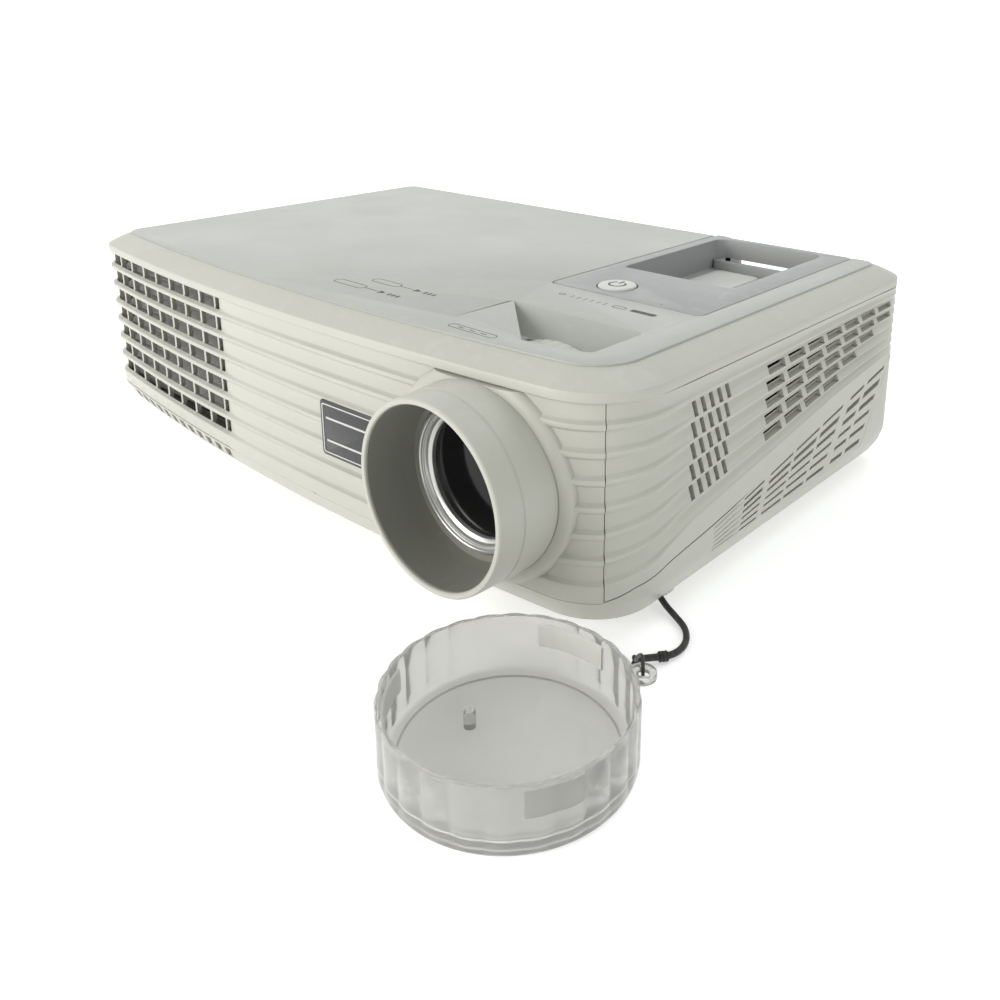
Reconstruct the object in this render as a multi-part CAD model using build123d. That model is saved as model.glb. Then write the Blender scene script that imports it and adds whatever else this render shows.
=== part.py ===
from build123d import *
import math
import os

os.makedirs("parts", exist_ok=True)

# Home projector. Millimetres, +Z up, the lens looks along -Y, +X is the vented side.
# The sizes below are counted from the middle of the case. Every part is then moved back by
# half the hood's reach, so the origin is under the middle of case and hood, at the feet.

# ---- driving dimensions -------------------------------------------------------------
WIDTH = 300.0
DEPTH = 196.0
FOOT_GAP = 5.0
CASE_HEIGHT = 77.0
WALL = 2.5
FRONT_SAG = 10.0
CORNER_FRONT_RIGHT = 26.0
CORNER_FRONT_LEFT = 17.0
CORNER_REAR = 15.0
PLATEAU_INSET = 10.0
BAND_DROP = 4.5
BOTTOM_INSET = 5.0
CLEAR = 0.3

HALF_W = WIDTH / 2
HALF_D = DEPTH / 2
Z_BOTTOM = FOOT_GAP
Z_TOP = FOOT_GAP + CASE_HEIGHT
Z_BAND = Z_TOP - BAND_DROP
Z_LOW_SEAM = 13.0
Z_TOP_SEAM = 74.0
SEAM_Y_RIGHT = -84.5
SEAM_Y_LEFT = -66.0

SWOOSH = [(-75, 17), (-61, 20), (-39, 22.5), (-19, 25.5), (4, 29), (28, 34), (56, 39.5), (93, 47)]

RIDGE_COUNT = 7
RIDGE_TOP = 67.2
RIDGE_PITCH = 8.26
RIDGE_WIDTH = 2.4
SIDE_PITCH = [(-85, 8.26), (-50, 6.7), (-6, 5.7), (40, 4.6), (95, 3.7)]
VENT_CELLS = [7, 7, 6, 5, 4]
VENT_Y0 = -9.0
VENT_PITCH = 13.6
BAND_DEPTH = 0.7

LENS_X = 102.0
LENS_Z = 43.5
HOOD_R = 29.4
HOOD_FRONT = -113.0
HOOD_BACK = -84.0
ORIGIN_SHIFT = (-HALF_D - HOOD_FRONT) / 2
HOOD_MOUTH_R = 27.6
BARREL_R = 23.3
GLASS_R = 19.0
BARREL_FRONT = -96.0
BARREL_BACK = -38.0
FOCUS_Y0 = -72.5
FOCUS_Y1 = -56.0
FOCUS_R = 33.0
ZOOM_Y0 = -53.8
ZOOM_Y1 = -48.0
ZOOM_R = 25.0

WINDOW_X0 = 72.0
WINDOW_X1 = 127.0
WINDOW_Y0 = -76.0
WINDOW_Y1 = -46.0
WINDOW_SLOPE_END = -55.2
WINDOW_FLOOR_Z = 74.0
WINDOW_FLARE_X = 103.0

INSERT_X0 = 65.0
INSERT_X1 = 130.0
INSERT_Y0 = -20.0
POCKET_X0 = 70.0
POCKET_X1 = 120.0
POCKET_Y0 = 14.0
POCKET_Y1 = 80.0
POCKET_Z = 70.0
CAVITY_Z = 50.0
BAR_Y0 = 86.0
BAR_Z0 = 74.0
BAR_Z1 = 80.5

POWER_KEY_X = 86.5
POWER_KEY_Y = -8.0
POWER_KEY_R = 7.0
KEY_X0 = 77.0
KEY_X1 = 98.0
KEY_Y0 = 48.0
KEY_Y1 = 73.0

BADGE_X0 = 31.0
BADGE_X1 = 66.0
BADGE_Z0 = 31.0
BADGE_Z1 = 51.0
BADGE_PROUD = 0.8

GRILLE_COLUMNS = 9
GRILLE_PITCH_X = 11.9
GRILLE_X1 = -34.5
GRILLE_BAR = 2.6

CAP_X = 153.0
CAP_Y = -132.0
CAP_R = 32.2
CAP_BORE_R = 30.5
CAP_HEIGHT = 18.0
CAP_FLOOR = 2.0
EYELET_ANGLE = 60.0
EYELET_R = 35.2

CORD_D = 2.0
LOOP_D = 1.0

FAN_X = -90.0
FAN_Z = 43.0
FAN_SIZE = 66.0
FAN_Y0 = -80.0
FAN_Y1 = -64.0

FOOT_X = 0.0
FOOT_Y = -74.0
FOOT_R = 8.0
REAR_FOOT_X = 118.0
REAR_FOOT_Y = 76.0


# ---- shared helpers -----------------------------------------------------------------
def block(x0, x1, y0, y1, z0, z1):
    """A box between two corners."""
    return Pos((x0 + x1) / 2, (y0 + y1) / 2, (z0 + z1) / 2) * Box(x1 - x0, y1 - y0, z1 - z0)


def tube_y(x, z, y0, y1, radius, bore=0.0):
    """A round bar along Y, hollow when a bore is given."""
    placed = Pos(x, (y0 + y1) / 2, z) * Rot(90, 0, 0)
    body = placed * Cylinder(radius, y1 - y0)
    if bore > 0:
        body -= placed * Cylinder(bore, y1 - y0 + 2)
    return body


def tube_z(x, y, z0, z1, radius, bore=0.0):
    """A round bar along Z, hollow when a bore is given."""
    placed = Pos(x, y, (z0 + z1) / 2)
    body = placed * Cylinder(radius, z1 - z0)
    if bore > 0:
        body -= placed * Cylinder(bore, z1 - z0 + 2)
    return body


def tube_x(y, z, x0, x1, radius, bore=0.0):
    """A round bar along X, hollow when a bore is given."""
    placed = Pos((x0 + x1) / 2, y, z) * Rot(0, 90, 0)
    body = placed * Cylinder(radius, x1 - x0)
    if bore > 0:
        body -= placed * Cylinder(bore, x1 - x0 + 2)
    return body


def outline(inset, z):
    """The case in plan at one height: bowed front, straight sides, four round corners."""
    left = -HALF_W + inset
    right = HALF_W - inset
    rear = HALF_D - inset
    front = -HALF_D + inset
    corner = front + FRONT_SAG
    edges = ThreePointArc((left, corner), (0, front), (right, corner))
    edges += Line((right, corner), (right, rear))
    edges += Line((right, rear), (left, rear))
    edges += Line((left, rear), (left, corner))
    face = make_face(edges)
    radii = {(False, False): CORNER_FRONT_LEFT, (True, False): CORNER_FRONT_RIGHT}
    for vertex in face.vertices():
        key = (vertex.X > 0, vertex.Y > 0)
        radius = radii.get(key, CORNER_REAR) - inset
        matches = [v for v in face.vertices() if (v.X > 0, v.Y > 0) == key]
        if len(matches) == 1:
            face = fillet(matches, max(radius, 1.0))
    return Pos(0, 0, z) * face


def slab(inset_low, z_low, inset_high, z_high):
    """The case volume between two heights, straight or tapering."""
    if inset_low == inset_high:
        return extrude(outline(inset_low, z_low), z_high - z_low)
    return loft([outline(inset_low, z_low).face(), outline(inset_high, z_high).face()])


def case_outer():
    """The outside of the whole case, tub, walls and chamfered top."""
    tub = slab(BOTTOM_INSET, Z_BOTTOM, 0, Z_LOW_SEAM)
    walls = slab(0, Z_LOW_SEAM, 0, Z_BAND)
    return tub + walls + slab(0, Z_BAND, PLATEAU_INSET, Z_TOP)


def case_inner():
    """The room inside the case."""
    low = slab(BOTTOM_INSET + WALL, Z_BOTTOM + WALL, WALL, Z_LOW_SEAM)
    walls = slab(WALL, Z_LOW_SEAM, WALL, Z_BAND - 1)
    return low + walls + slab(WALL, Z_BAND - 1, PLATEAU_INSET + WALL - 1, Z_TOP - WALL)


def below_swoosh():
    """Everything under the side seam, which climbs from the front seam to the rear."""
    points = [(-140, -10), (-140, Z_LOW_SEAM), (SEAM_Y_RIGHT, Z_LOW_SEAM), *SWOOSH, (140, 50), (140, -10)]
    profile = make_face(Polyline(*points, close=True))
    return extrude(Plane.YZ * profile, 200, both=True)


def front_region():
    """The plan area of the front cover, deeper on the grille side."""
    points = [(-170, -130), (170, -130), (170, SEAM_Y_RIGHT), (0, SEAM_Y_RIGHT)]
    points += [(0, SEAM_Y_LEFT), (-170, SEAM_Y_LEFT)]
    height = Z_TOP_SEAM - Z_LOW_SEAM
    return Pos(0, 0, Z_LOW_SEAM) * extrude(make_face(Polyline(*points, close=True)), height)


def rear_region():
    """The flat connector panel let into the rear wall."""
    return block(-132, 132, HALF_D - WALL, HALF_D + 5, 11, 46)


def ridge_z(step):
    """Height of one raised ridge on the front wall, counted from the top."""
    return RIDGE_TOP - step * RIDGE_PITCH


def save(name, shape):
    """Write one sub-part in the finished frame."""
    export_step(Pos(0, ORIGIN_SHIFT, 0) * shape, f"parts/{name}.step")
    print(f"{name:24s} solids {len(shape.solids())} volume {shape.volume / 1000:9.2f} cm3")


# ---- casing -------------------------------------------------------------------------
SHELL = case_outer() - case_inner()


def lower_case():
    """Tub with the bottom, the lamp hatch opening, foot openings and screw bosses."""
    body = SHELL & (below_swoosh() - front_region())
    body -= rear_region()
    body -= block(LAMP_X0 - 2, LAMP_X1 + 2, LAMP_Y0 - 2, LAMP_Y1 + 2, 0, Z_BOTTOM + WALL + 1)
    body -= tube_z(FOOT_X, FOOT_Y, 0, Z_BOTTOM + WALL + 1, FOOT_R + CLEAR)
    body -= tube_z(REAR_FOOT_X, REAR_FOOT_Y, 0, Z_BOTTOM + WALL + 1, 4.0 + CLEAR)
    body -= block(FOOT_LATCH_X0, FOOT_LATCH_X1, FOOT_Y - 6, FOOT_Y + 6, 0, Z_BOTTOM + WALL + 1)
    for x, y in MOUNT_POINTS:
        body += tube_z(x, y, Z_BOTTOM + WALL - 0.5, 13.4, 4.5)
        body -= tube_z(x, y, 0, 12.5, 2.0)
    for x, y in SCREW_POINTS:
        body -= tube_z(x, y, 0, 8, 1.5)
    for row in range(TUB_ROWS):
        for column in range(TUB_SLOTS):
            y = TUB_Y0 + column * TUB_PITCH
            z = TUB_Z_LOW + row * (TUB_START_PITCH + (y - TUB_ORIGIN_Y) * TUB_SPREAD)
            body -= block(HALF_W - 12, HALF_W + 4, y, y + TUB_PITCH - 3, z, z + 2)
    return body


def front_cover():
    """Bowed front bezel with ribs, the hood opening and the exhaust grille."""
    body = SHELL & front_region()
    body -= tube_y(LENS_X, LENS_Z, -130, -60, HOOD_R + CLEAR)
    for step in range(RIDGE_COUNT):
        z0 = ridge_z(step) + RIDGE_WIDTH / 2
        z1 = min(ridge_z(step) + RIDGE_PITCH - RIDGE_WIDTH / 2, Z_TOP_SEAM - 1)
        band = slab(-3, z0, -3, z1) - slab(BAND_DEPTH, z0, BAND_DEPTH, z1)
        body -= band & block(GRILLE_X1 + 4, 170, -130, 0, 0, 100)
        for column in range(GRILLE_COLUMNS):
            x1 = GRILLE_X1 - column * GRILLE_PITCH_X
            x0 = max(x1 - GRILLE_PITCH_X + GRILLE_BAR, -140)
            body -= block(x0, x1, -130, -84, z0, z1)
        body -= block(-170, -145, -80, SEAM_Y_LEFT - 3, z0, z1)
    return body


def top_cover():
    """Top and side walls with the focus window, the insert opening and the side vents."""
    body = SHELL - below_swoosh() - front_region()
    body -= rear_region()
    body -= block(INSERT_X0 - CLEAR, INSERT_X1 + CLEAR, INSERT_Y0 - CLEAR, 120, CAVITY_Z - 2, 100)
    body += window_tray() & case_outer()
    body -= window_void()
    for row in range(5):
        for column in range(5):
            y = -51 + column * 4.4
            z = side_ridge_z(row, y) - 0.5 * side_pitch(y) - 2.2
            body -= block(HALF_W - 5, HALF_W + 5, y, y + 2, z, z + 4.4)
    for row in range(5):
        for column in range(VENT_CELLS[row]):
            y = VENT_Y0 + column * VENT_PITCH
            z = side_ridge_z(row, y + VENT_PITCH / 2) - 0.5 * side_pitch(y) - 1.5
            body -= block(HALF_W - 5, HALF_W + 5, y, y + VENT_PITCH - 3.2, z, z + 3)
    return body


def side_pitch(y):
    """Distance between two ridges on the side wall, which close up towards the rear."""
    for (y0, p0), (y1, p1) in zip(SIDE_PITCH, SIDE_PITCH[1:]):
        if y <= y1:
            return p0 + (p1 - p0) * (y - y0) / (y1 - y0)
    return SIDE_PITCH[-1][1]


def side_ridge_z(step, y):
    """Height of one ridge on the side wall."""
    return Z_TOP_SEAM - side_pitch(y) * (0.82 + step)


def window_profile(drop):
    """Side view of the focus window, as a (y, z) face; drop thickens it into the tray."""
    points = [(WINDOW_Y0 - drop, Z_TOP + 1), (WINDOW_Y0 - drop, WINDOW_FLOOR_Z - drop)]
    points += [(WINDOW_SLOPE_END + drop * 0.2, WINDOW_FLOOR_Z - drop)]
    points += [(WINDOW_Y1 + drop, Z_TOP - drop), (WINDOW_Y1 + drop, Z_TOP + 1)]
    return make_face(Polyline(*points, close=True))


def window_plan(margin):
    """The focus window seen from above: its left wall runs diagonally to the front edge."""
    points = [(WINDOW_X0, WINDOW_Y1), (WINDOW_X1, WINDOW_Y1), (WINDOW_X1, WINDOW_Y0)]
    face = make_face(Polyline(*points, (WINDOW_FLARE_X, WINDOW_Y0), close=True))
    if margin > 0:
        face = offset(face, margin, kind=Kind.INTERSECTION)
    return Pos(0, 0, 50) * extrude(face, 60)


def window_void():
    """The room in the focus window and the slot that the focus ring stands in."""
    wedge = Pos(WINDOW_X0 - 5, 0, 0) * extrude(Plane.YZ * window_profile(0), 65)
    slot = tube_y(LENS_X, LENS_Z, WINDOW_Y0 + 0.5, WINDOW_SLOPE_END, FOCUS_R + 0.8)
    return (wedge & window_plan(0)) + slot


def window_tray():
    """The walls of the focus window, hanging from the top."""
    wedge = Pos(WINDOW_X0 - 10, 0, 0) * extrude(Plane.YZ * window_profile(1.8), 75)
    return wedge & window_plan(1.8) & block(0, 170, -120, 0, 0, Z_TOP - 0.01)


def rear_panel():
    """Flat connector panel with an opening for every socket."""
    body = block(-132 + CLEAR, 132 - CLEAR, HALF_D - WALL, HALF_D, 11 + CLEAR, 46 - CLEAR)
    for x0, x1, z0, z1 in REAR_OPENINGS:
        body -= block(x0, x1, HALF_D - 10, HALF_D + 5, z0, z1)
    for x, z, radius in REAR_HOLES:
        body -= tube_y(x, z, HALF_D - 10, HALF_D + 5, radius)
    for column in range(10):
        x = -78 + column * 5
        body -= block(x, x + 2.5, HALF_D - 10, HALF_D + 5, 34, 42)
    return body


def handle_insert():
    """Grey control insert: flat key area, sloping pocket, finger cavity and handle bar."""
    plate = block(INSERT_X0, INSERT_X1, INSERT_Y0, HALF_D - PLATEAU_INSET, Z_TOP - WALL, Z_TOP)
    walls = block(POCKET_X0 - 2, POCKET_X1 + 2, POCKET_Y0 - 2, POCKET_Y1, POCKET_Z - 2, Z_TOP)
    cavity = block(POCKET_X0 - 2, POCKET_X1 + 2, POCKET_Y1 - 2, HALF_D - 0.5, CAVITY_Z, Z_TOP - 2)
    body = plate + walls + cavity
    ramp_points = [(POCKET_Y0, Z_TOP + 1), (POCKET_Y0, Z_TOP), (POCKET_Y0 + 26, POCKET_Z)]
    ramp_points += [(POCKET_Y1 + 1, POCKET_Z), (POCKET_Y1 + 1, Z_TOP + 1)]
    ramp = Plane.YZ * make_face(Polyline(*ramp_points, close=True))
    body -= Pos(POCKET_X0, 0, 0) * extrude(ramp, POCKET_X1 - POCKET_X0)
    body -= block(POCKET_X0, POCKET_X1, POCKET_Y1, 120, CAVITY_Z + 2, 100)
    bar = block(POCKET_X0 - 2, POCKET_X1 + 2, BAR_Y0, HALF_D - 0.5, BAR_Z0, BAR_Z1)
    body += fillet(bar.edges().filter_by(Axis.X), 2.4)
    body += block(INSERT_X0, POCKET_X0, BAR_Y0, HALF_D - 0.5, BAR_Z0, BAR_Z1 - 1)
    body += block(POCKET_X1, INSERT_X1, BAR_Y0, HALF_D - 0.5, BAR_Z0, BAR_Z1 - 1)
    body -= tube_z(POWER_KEY_X, POWER_KEY_Y, 70, 90, POWER_KEY_R + CLEAR)
    gap = CLEAR
    body -= block(KEY_X0 - gap, KEY_X1 + gap, KEY_Y0 - gap, KEY_Y1 + gap, POCKET_Z - 5, POCKET_Z + 1)
    return body


def power_key():
    """Round standby key with a stem and a stop flange under the insert."""
    key = tube_z(POWER_KEY_X, POWER_KEY_Y, Z_TOP - 6, Z_TOP + 0.9, POWER_KEY_R)
    key = fillet(key.edges().sort_by(Axis.Z)[-1], 0.8)
    flange = tube_z(POWER_KEY_X, POWER_KEY_Y, Z_TOP - 6, Z_TOP - WALL - 0.9, POWER_KEY_R + 1.5)
    return key + flange


def pocket_key():
    """Large light key in the pocket floor."""
    key = block(KEY_X0, KEY_X1, KEY_Y0, KEY_Y1, POCKET_Z - 6, POCKET_Z + 1.4)
    key = fillet(key.edges().filter_by(Axis.Z), 3.0)
    flange = block(KEY_X0 - 1.5, KEY_X1 + 1.5, KEY_Y0 - 1.5, KEY_Y1 + 1.5, POCKET_Z - 6, POCKET_Z - 3.2)
    return key + flange


def key_board():
    """Stepped switch board with one tact switch under each key."""
    board = block(74, 100, -18, 9.6, 70, 71.6)
    board += block(84, 90, 8, 9.6, 60.2, 71.6)
    board += block(84, 90, 8, 46, 60.2, 61.8)
    board += block(78, 97, 44, 77, 60.2, 61.8)
    switches = tube_z(POWER_KEY_X, POWER_KEY_Y, 71.0, 75.1, 2.5)
    switches += tube_z((KEY_X0 + KEY_X1) / 2, (KEY_Y0 + KEY_Y1) / 2, 61.0, 62.9, 2.5)
    return board + switches


def badge_plate():
    """Dark unmarked plate that follows the bow of the front cover."""
    skin = slab(-BADGE_PROUD, BADGE_Z0, -BADGE_PROUD, BADGE_Z1) - slab(0, BADGE_Z0, 0, BADGE_Z1)
    return skin & block(BADGE_X0, BADGE_X1, -120, -60, BADGE_Z0, BADGE_Z1)


def lens_hood():
    """Collar around the lens, with a flange behind the cover."""
    profile = [(HOOD_MOUTH_R, HOOD_FRONT), (HOOD_R, HOOD_FRONT), (HOOD_R, HOOD_BACK)]
    profile += [(HOOD_R + 1.0, HOOD_BACK), (HOOD_R + 1.0, HOOD_BACK + 2)]
    profile += [(BARREL_R + 0.5, HOOD_BACK + 2), (BARREL_R + 0.5, HOOD_BACK - 6)]
    face = make_face(Polyline(*profile, close=True))
    ring = revolve(face, Axis.Y)
    return Pos(LENS_X, 0, LENS_Z) * ring


# ---- lens and optics ----------------------------------------------------------------
def lens_barrel():
    """Fixed outer barrel with a mounting flange on the optical engine."""
    y0 = BARREL_FRONT + 6
    body = tube_y(LENS_X, LENS_Z, y0, BARREL_BACK, BARREL_R, BARREL_R - 2)
    return body + tube_y(LENS_X, LENS_Z, BARREL_BACK - 3, BARREL_BACK, BARREL_R + 4, BARREL_R - 3)


def front_cell():
    """Silver ring that holds the front lens and travels as the focus ring turns."""
    body = tube_y(LENS_X, LENS_Z, BARREL_FRONT, -70, BARREL_R - 2.1, GLASS_R)
    lip = tube_y(LENS_X, LENS_Z, BARREL_FRONT, BARREL_FRONT + 2, BARREL_R - 0.4, GLASS_R)
    return body + lip


def lens_element(y_mid, radius, bulge, edge):
    """A biconvex glass element on the lens axis: a disc cut by two spheres."""
    half = edge / 2 + bulge
    curve = (radius * radius + bulge * bulge) / (2 * bulge)
    disc = tube_y(LENS_X, LENS_Z, y_mid - half, y_mid + half, radius)
    disc &= Pos(LENS_X, y_mid - half + curve, LENS_Z) * Sphere(curve)
    return disc & Pos(LENS_X, y_mid + half - curve, LENS_Z) * Sphere(curve)


def front_lens():
    """Front element, flat behind and rounded over at its front edge."""
    disc = tube_y(LENS_X, LENS_Z, BARREL_FRONT + 3, BARREL_FRONT + 9, GLASS_R)
    return fillet(disc.edges().sort_by(Axis.Y)[0], 2.5)


def focus_ring():
    """Fluted ring around the barrel; its top stands in the focus window."""
    ring = tube_y(LENS_X, LENS_Z, FOCUS_Y0, FOCUS_Y1, FOCUS_R, BARREL_R + 0.06)
    for step in range(36):
        angle = math.radians(step * 10)
        x = LENS_X + (FOCUS_R + 0.5) * math.cos(angle)
        z = LENS_Z + (FOCUS_R + 0.5) * math.sin(angle)
        ring -= tube_y(x, z, FOCUS_Y0 - 1, FOCUS_Y1 + 1, 1.3)
    return ring


def zoom_ring():
    """Ring behind the focus ring that shifts the inner lens group."""
    ring = tube_y(LENS_X, LENS_Z, ZOOM_Y0, ZOOM_Y1, ZOOM_R, BARREL_R + 0.06)
    lever = block(LENS_X - 3, LENS_X + 3, ZOOM_Y0, ZOOM_Y1, LENS_Z - ZOOM_R - 4, LENS_Z - ZOOM_R + 1)
    return ring + lever


def zoom_group():
    """Inner sliding sleeve with the middle lens, moved by the zoom ring."""
    return tube_y(LENS_X, LENS_Z, -62, -48, BARREL_R - 2.06, 14)


def optical_engine():
    """Cast engine housing behind the lens, open inside."""
    body = block(60, 134, BARREL_BACK, 8, 10, 66)
    body -= block(63, 131, BARREL_BACK + 3, 5, 13, 63)
    body -= tube_y(LENS_X, LENS_Z, BARREL_BACK - 2, BARREL_BACK + 5, BARREL_R - 3)
    body -= block(55, 65, -20, -8, 37, 49)
    body -= block(86, 118, 0, 12, 24, 50)
    return body


def light_tunnel():
    """Square glass light pipe between the colour wheel and the engine."""
    return block(31, 60, -18, -10, 39, 47) - block(30, 62, -16.5, -11.5, 40.5, 45.5)


def dmd_board():
    """Imaging chip board on the back of the engine."""
    board = block(78, 126, 8, 9.6, 16, 60)
    return board + block(92, 112, 5, 8, 30, 44)


def dmd_heatsink():
    """Finned cooler behind the imaging chip."""
    body = block(88, 116, 9.6, 13, 26, 48)
    for step in range(7):
        x = 88 + step * 4.4
        body += block(x, x + 1.6, 12, 30, 26, 48)
    return body


def wheel_motor():
    """Small motor that carries the colour wheel, on a bracket."""
    body = tube_x(2, 34, 14, 25, 9)
    return body + block(12, 14, -8, 12, 7.5, 44) - tube_x(2, 34, 10, 30, 1.55)


def colour_wheel():
    """Thin glass colour wheel with its hub and spindle."""
    disc = tube_x(2, 34, 27, 28.2, 20)
    hub = tube_x(2, 34, 25.5, 29.5, 7)
    return disc + hub + tube_x(2, 34, 15, 27, 1.5)


LAMP_X0 = -46.0
LAMP_X1 = 8.0
LAMP_Y0 = -42.0
LAMP_Y1 = 14.0


def lamp_housing():
    """Vented cage around the lamp, open towards the light tunnel and the exhaust fan."""
    body = block(LAMP_X0, LAMP_X1, LAMP_Y0, LAMP_Y1, 9, 72)
    body -= block(LAMP_X0 + 2, LAMP_X1 - 2, LAMP_Y0 + 2, LAMP_Y1 - 2, 11, 70)
    body -= tube_x(-14, 43, LAMP_X1 - 5, LAMP_X1 + 5, 18)
    body -= tube_z(LAMP_X1 - 6, -14, 0, 12, 1.6)
    for row in range(5):
        z = 18 + row * 10
        body -= block(LAMP_X0 - 1, LAMP_X0 + 3, LAMP_Y0 + 6, LAMP_Y1 - 6, z, z + 5)
    return body


def lamp_reflector():
    """Glass parabolic reflector, with its neck on the side away from the light tunnel."""
    outer = ThreePointArc((8, -38), (17, -22), (24, -2))
    inner = ThreePointArc((22.4, -2), (15.4, -21), (6, -36))
    closed = outer + Line((24, -2), (22.4, -2)) + inner + Line((6, -36), (4.5, -36))
    closed += Line((4.5, -36), (4.5, -42))
    closed += Line((4.5, -42), (8, -42))
    closed += Line((8, -42), (8, -38))
    bowl = revolve(make_face(closed), Axis.Y)
    return Pos(LAMP_X1 - 2.2, -14, 43) * Rot(0, 0, -90) * bowl


def lamp_burner():
    """Arc lamp: a quartz stem with its bulb, held in the reflector's neck."""
    stem = tube_x(-14, 43, -40, -8, 3.2)
    return stem + Pos(-18, -14, 43) * Sphere(5.5)


def lamp_door():
    """Hatch in the underside over the lamp, with its finger ridge."""
    gap = 2 - CLEAR
    door = block(LAMP_X0 - gap, LAMP_X1 + gap, LAMP_Y0 - gap, LAMP_Y1 + gap, Z_BOTTOM, Z_BOTTOM + WALL)
    return door - tube_z(LAMP_X1 - 6, -14, 0, 12, 1.6)


def lamp_door_screw():
    """Captive screw of the lamp hatch."""
    x = LAMP_X1 - 6
    return tube_z(x, -14, Z_BOTTOM - 1.6, Z_BOTTOM, 3.6) + tube_z(x, -14, Z_BOTTOM - 0.5, 10, 1.5)


# ---- boards, cooling, sound ---------------------------------------------------------
def board_with_parts(x0, x1, y0, y1, z, parts):
    """A circuit board and the tall components on it."""
    board = block(x0, x1, y0, y1, z, z + 1.6)
    for px, py, sx, sy, sz in parts:
        board += block(px - sx / 2, px + sx / 2, py - sy / 2, py + sy / 2, z + 1, z + 1.6 + sz)
    return board


def ballast_board():
    """Lamp ballast with its ignition transformer and two chokes."""
    parts = [(-118, -30, 22, 26, 26), (-90, -38, 18, 18, 20), (-90, -8, 18, 24, 18), (-120, 10, 14, 14, 22)]
    return board_with_parts(-138, -62, -54, 26, 14, parts)


def power_board():
    """Mains power supply with capacitors and a transformer."""
    parts = [(-124, 48, 20, 22, 24), (-96, 50, 24, 24, 22), (-72, 46, 12, 12, 28), (-72, 64, 10, 10, 16)]
    return board_with_parts(-138, -62, 32, 74, 14, parts)


def main_board():
    """Signal board under the blower, with processor and connectors' feet."""
    parts = [(-20, 30, 24, 24, 3), (16, 34, 16, 16, 2), (-40, 56, 14, 20, 4), (36, 50, 12, 16, 3)]
    return board_with_parts(-56, 60, 18, 90, 14, parts)


def board_stands():
    """Brass stand-offs that carry the three boards."""
    stands = None
    for x0, x1, y0, y1 in ((-138, -62, -54, 26), (-138, -62, 32, 74), (-56, 60, 18, 90)):
        for x in (x0 + 4, x1 - 4):
            for y in (y0 + 4, y1 - 4):
                post = tube_z(x, y, Z_BOTTOM + WALL, 14, 2.6)
                stands = post if stands is None else stands + post
    return stands


def fan_frame():
    """Square axial fan frame behind the exhaust grille, with a four-arm motor mount."""
    half = FAN_SIZE / 2
    body = block(FAN_X - half, FAN_X + half, FAN_Y0, FAN_Y1, FAN_Z - half, FAN_Z + half)
    body -= tube_y(FAN_X, FAN_Z, FAN_Y0 - 1, FAN_Y1 + 1, 31)
    for angle in (45, 135):
        arm = Pos(FAN_X, FAN_Y1 - 1, FAN_Z) * Rot(0, angle, 0) * Box(63, 2, 4)
        body += arm
    return body + tube_y(FAN_X, FAN_Z, FAN_Y1 - 5, FAN_Y1, 11) - tube_y(FAN_X, FAN_Z, -90, -60, 2.05)


def fan_rotor():
    """Seven-bladed rotor on its spindle."""
    rotor = tube_y(FAN_X, FAN_Z, FAN_Y0 + 1, FAN_Y1 - 5.5, 13)
    for step in range(7):
        blade = Pos(0, 0, 20.5) * Rot(0, 0, 38) * Box(1.6, 12, 18)
        rotor += Pos(FAN_X, (FAN_Y0 + FAN_Y1) / 2 - 2, FAN_Z) * Rot(0, step * 360 / 7, 0) * blade
    return rotor + tube_y(FAN_X, FAN_Z, FAN_Y1 - 6, FAN_Y1 - 0.5, 2.0)


def blower_housing():
    """Centrifugal blower that cools the lamp and the imaging chip."""
    body = block(-48, 6, 26, 80, 42, 60)
    body -= tube_z(-21, 53, 44, 58, 24.5)
    body -= tube_z(-21, 53, 57, 62, 16)
    body -= block(-40, -4, 15, 50, 46, 56)
    return body - tube_z(-21, 53, 40, 46, 2.05)


def blower_rotor():
    """Bladed drum of the blower."""
    rotor = tube_z(-21, 53, 45, 57, 9) + tube_z(-21, 53, 45, 46.5, 21)
    for step in range(16):
        blade = Pos(19, 0, 51) * Rot(0, 0, 25) * Box(4.5, 1, 12)
        rotor += Pos(-21, 53, 0) * Rot(0, 0, step * 22.5) * blade
    return rotor + tube_z(-21, 53, 42.3, 46, 2.0)


def speaker():
    """Small loudspeaker behind the square field of slots in the side."""
    body = block(139, 142, -60, -24, 31, 67) - tube_x(-42, 49, 138, 144, 15)
    cone = tube_x(-42, 49, 139.5, 141.5, 15.0)
    return body + cone + tube_x(-42, 49, 134.6, 140, 9)


def air_filter():
    """Framed fine mesh behind the large side vents."""
    body = block(142.5, 146.5, -10, 84, 30, 70)
    return body - block(142, 147, -7, 81, 33, 67) + block(144, 145, -9, 83, 31, 69)


# ---- rear connectors ----------------------------------------------------------------
INLET = (-126.0, -98.0, 18.0, 40.0)
VGA = (-44.0, -12.0, 17.0, 28.0)
VIDEO = (-4.0, 20.0, 17.0, 29.0)
SERIAL = (28.0, 42.0, 17.0, 29.0)
AUDIO = (52.0, 22.0, 3.2)
IR_WINDOW = (70.0, 82.0, 24.0, 32.0)
LOCK_SLOT = (96.0, 104.0, 22.0, 26.0)
REAR_OPENINGS = [INLET, VGA, VIDEO, SERIAL, IR_WINDOW, LOCK_SLOT]
REAR_HOLES = [AUDIO]


def mains_inlet():
    """Three-pin mains inlet with its hollow socket."""
    x0, x1, z0, z1 = INLET
    body = block(x0 + CLEAR, x1 - CLEAR, 76, HALF_D - 0.2, z0 + CLEAR, z1 - CLEAR)
    body -= block(x0 + 2.5, x1 - 2.5, 82, HALF_D + 2, z0 + 2.8, z1 - 2.8)
    middle = (x0 + x1) / 2
    for dx, dz in ((-7, -1), (0, 3), (7, -1)):
        z = (z0 + z1) / 2 + dz
        body += block(middle + dx - 0.8, middle + dx + 0.8, 80, 94, z - 2, z + 2)
    return body


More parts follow.
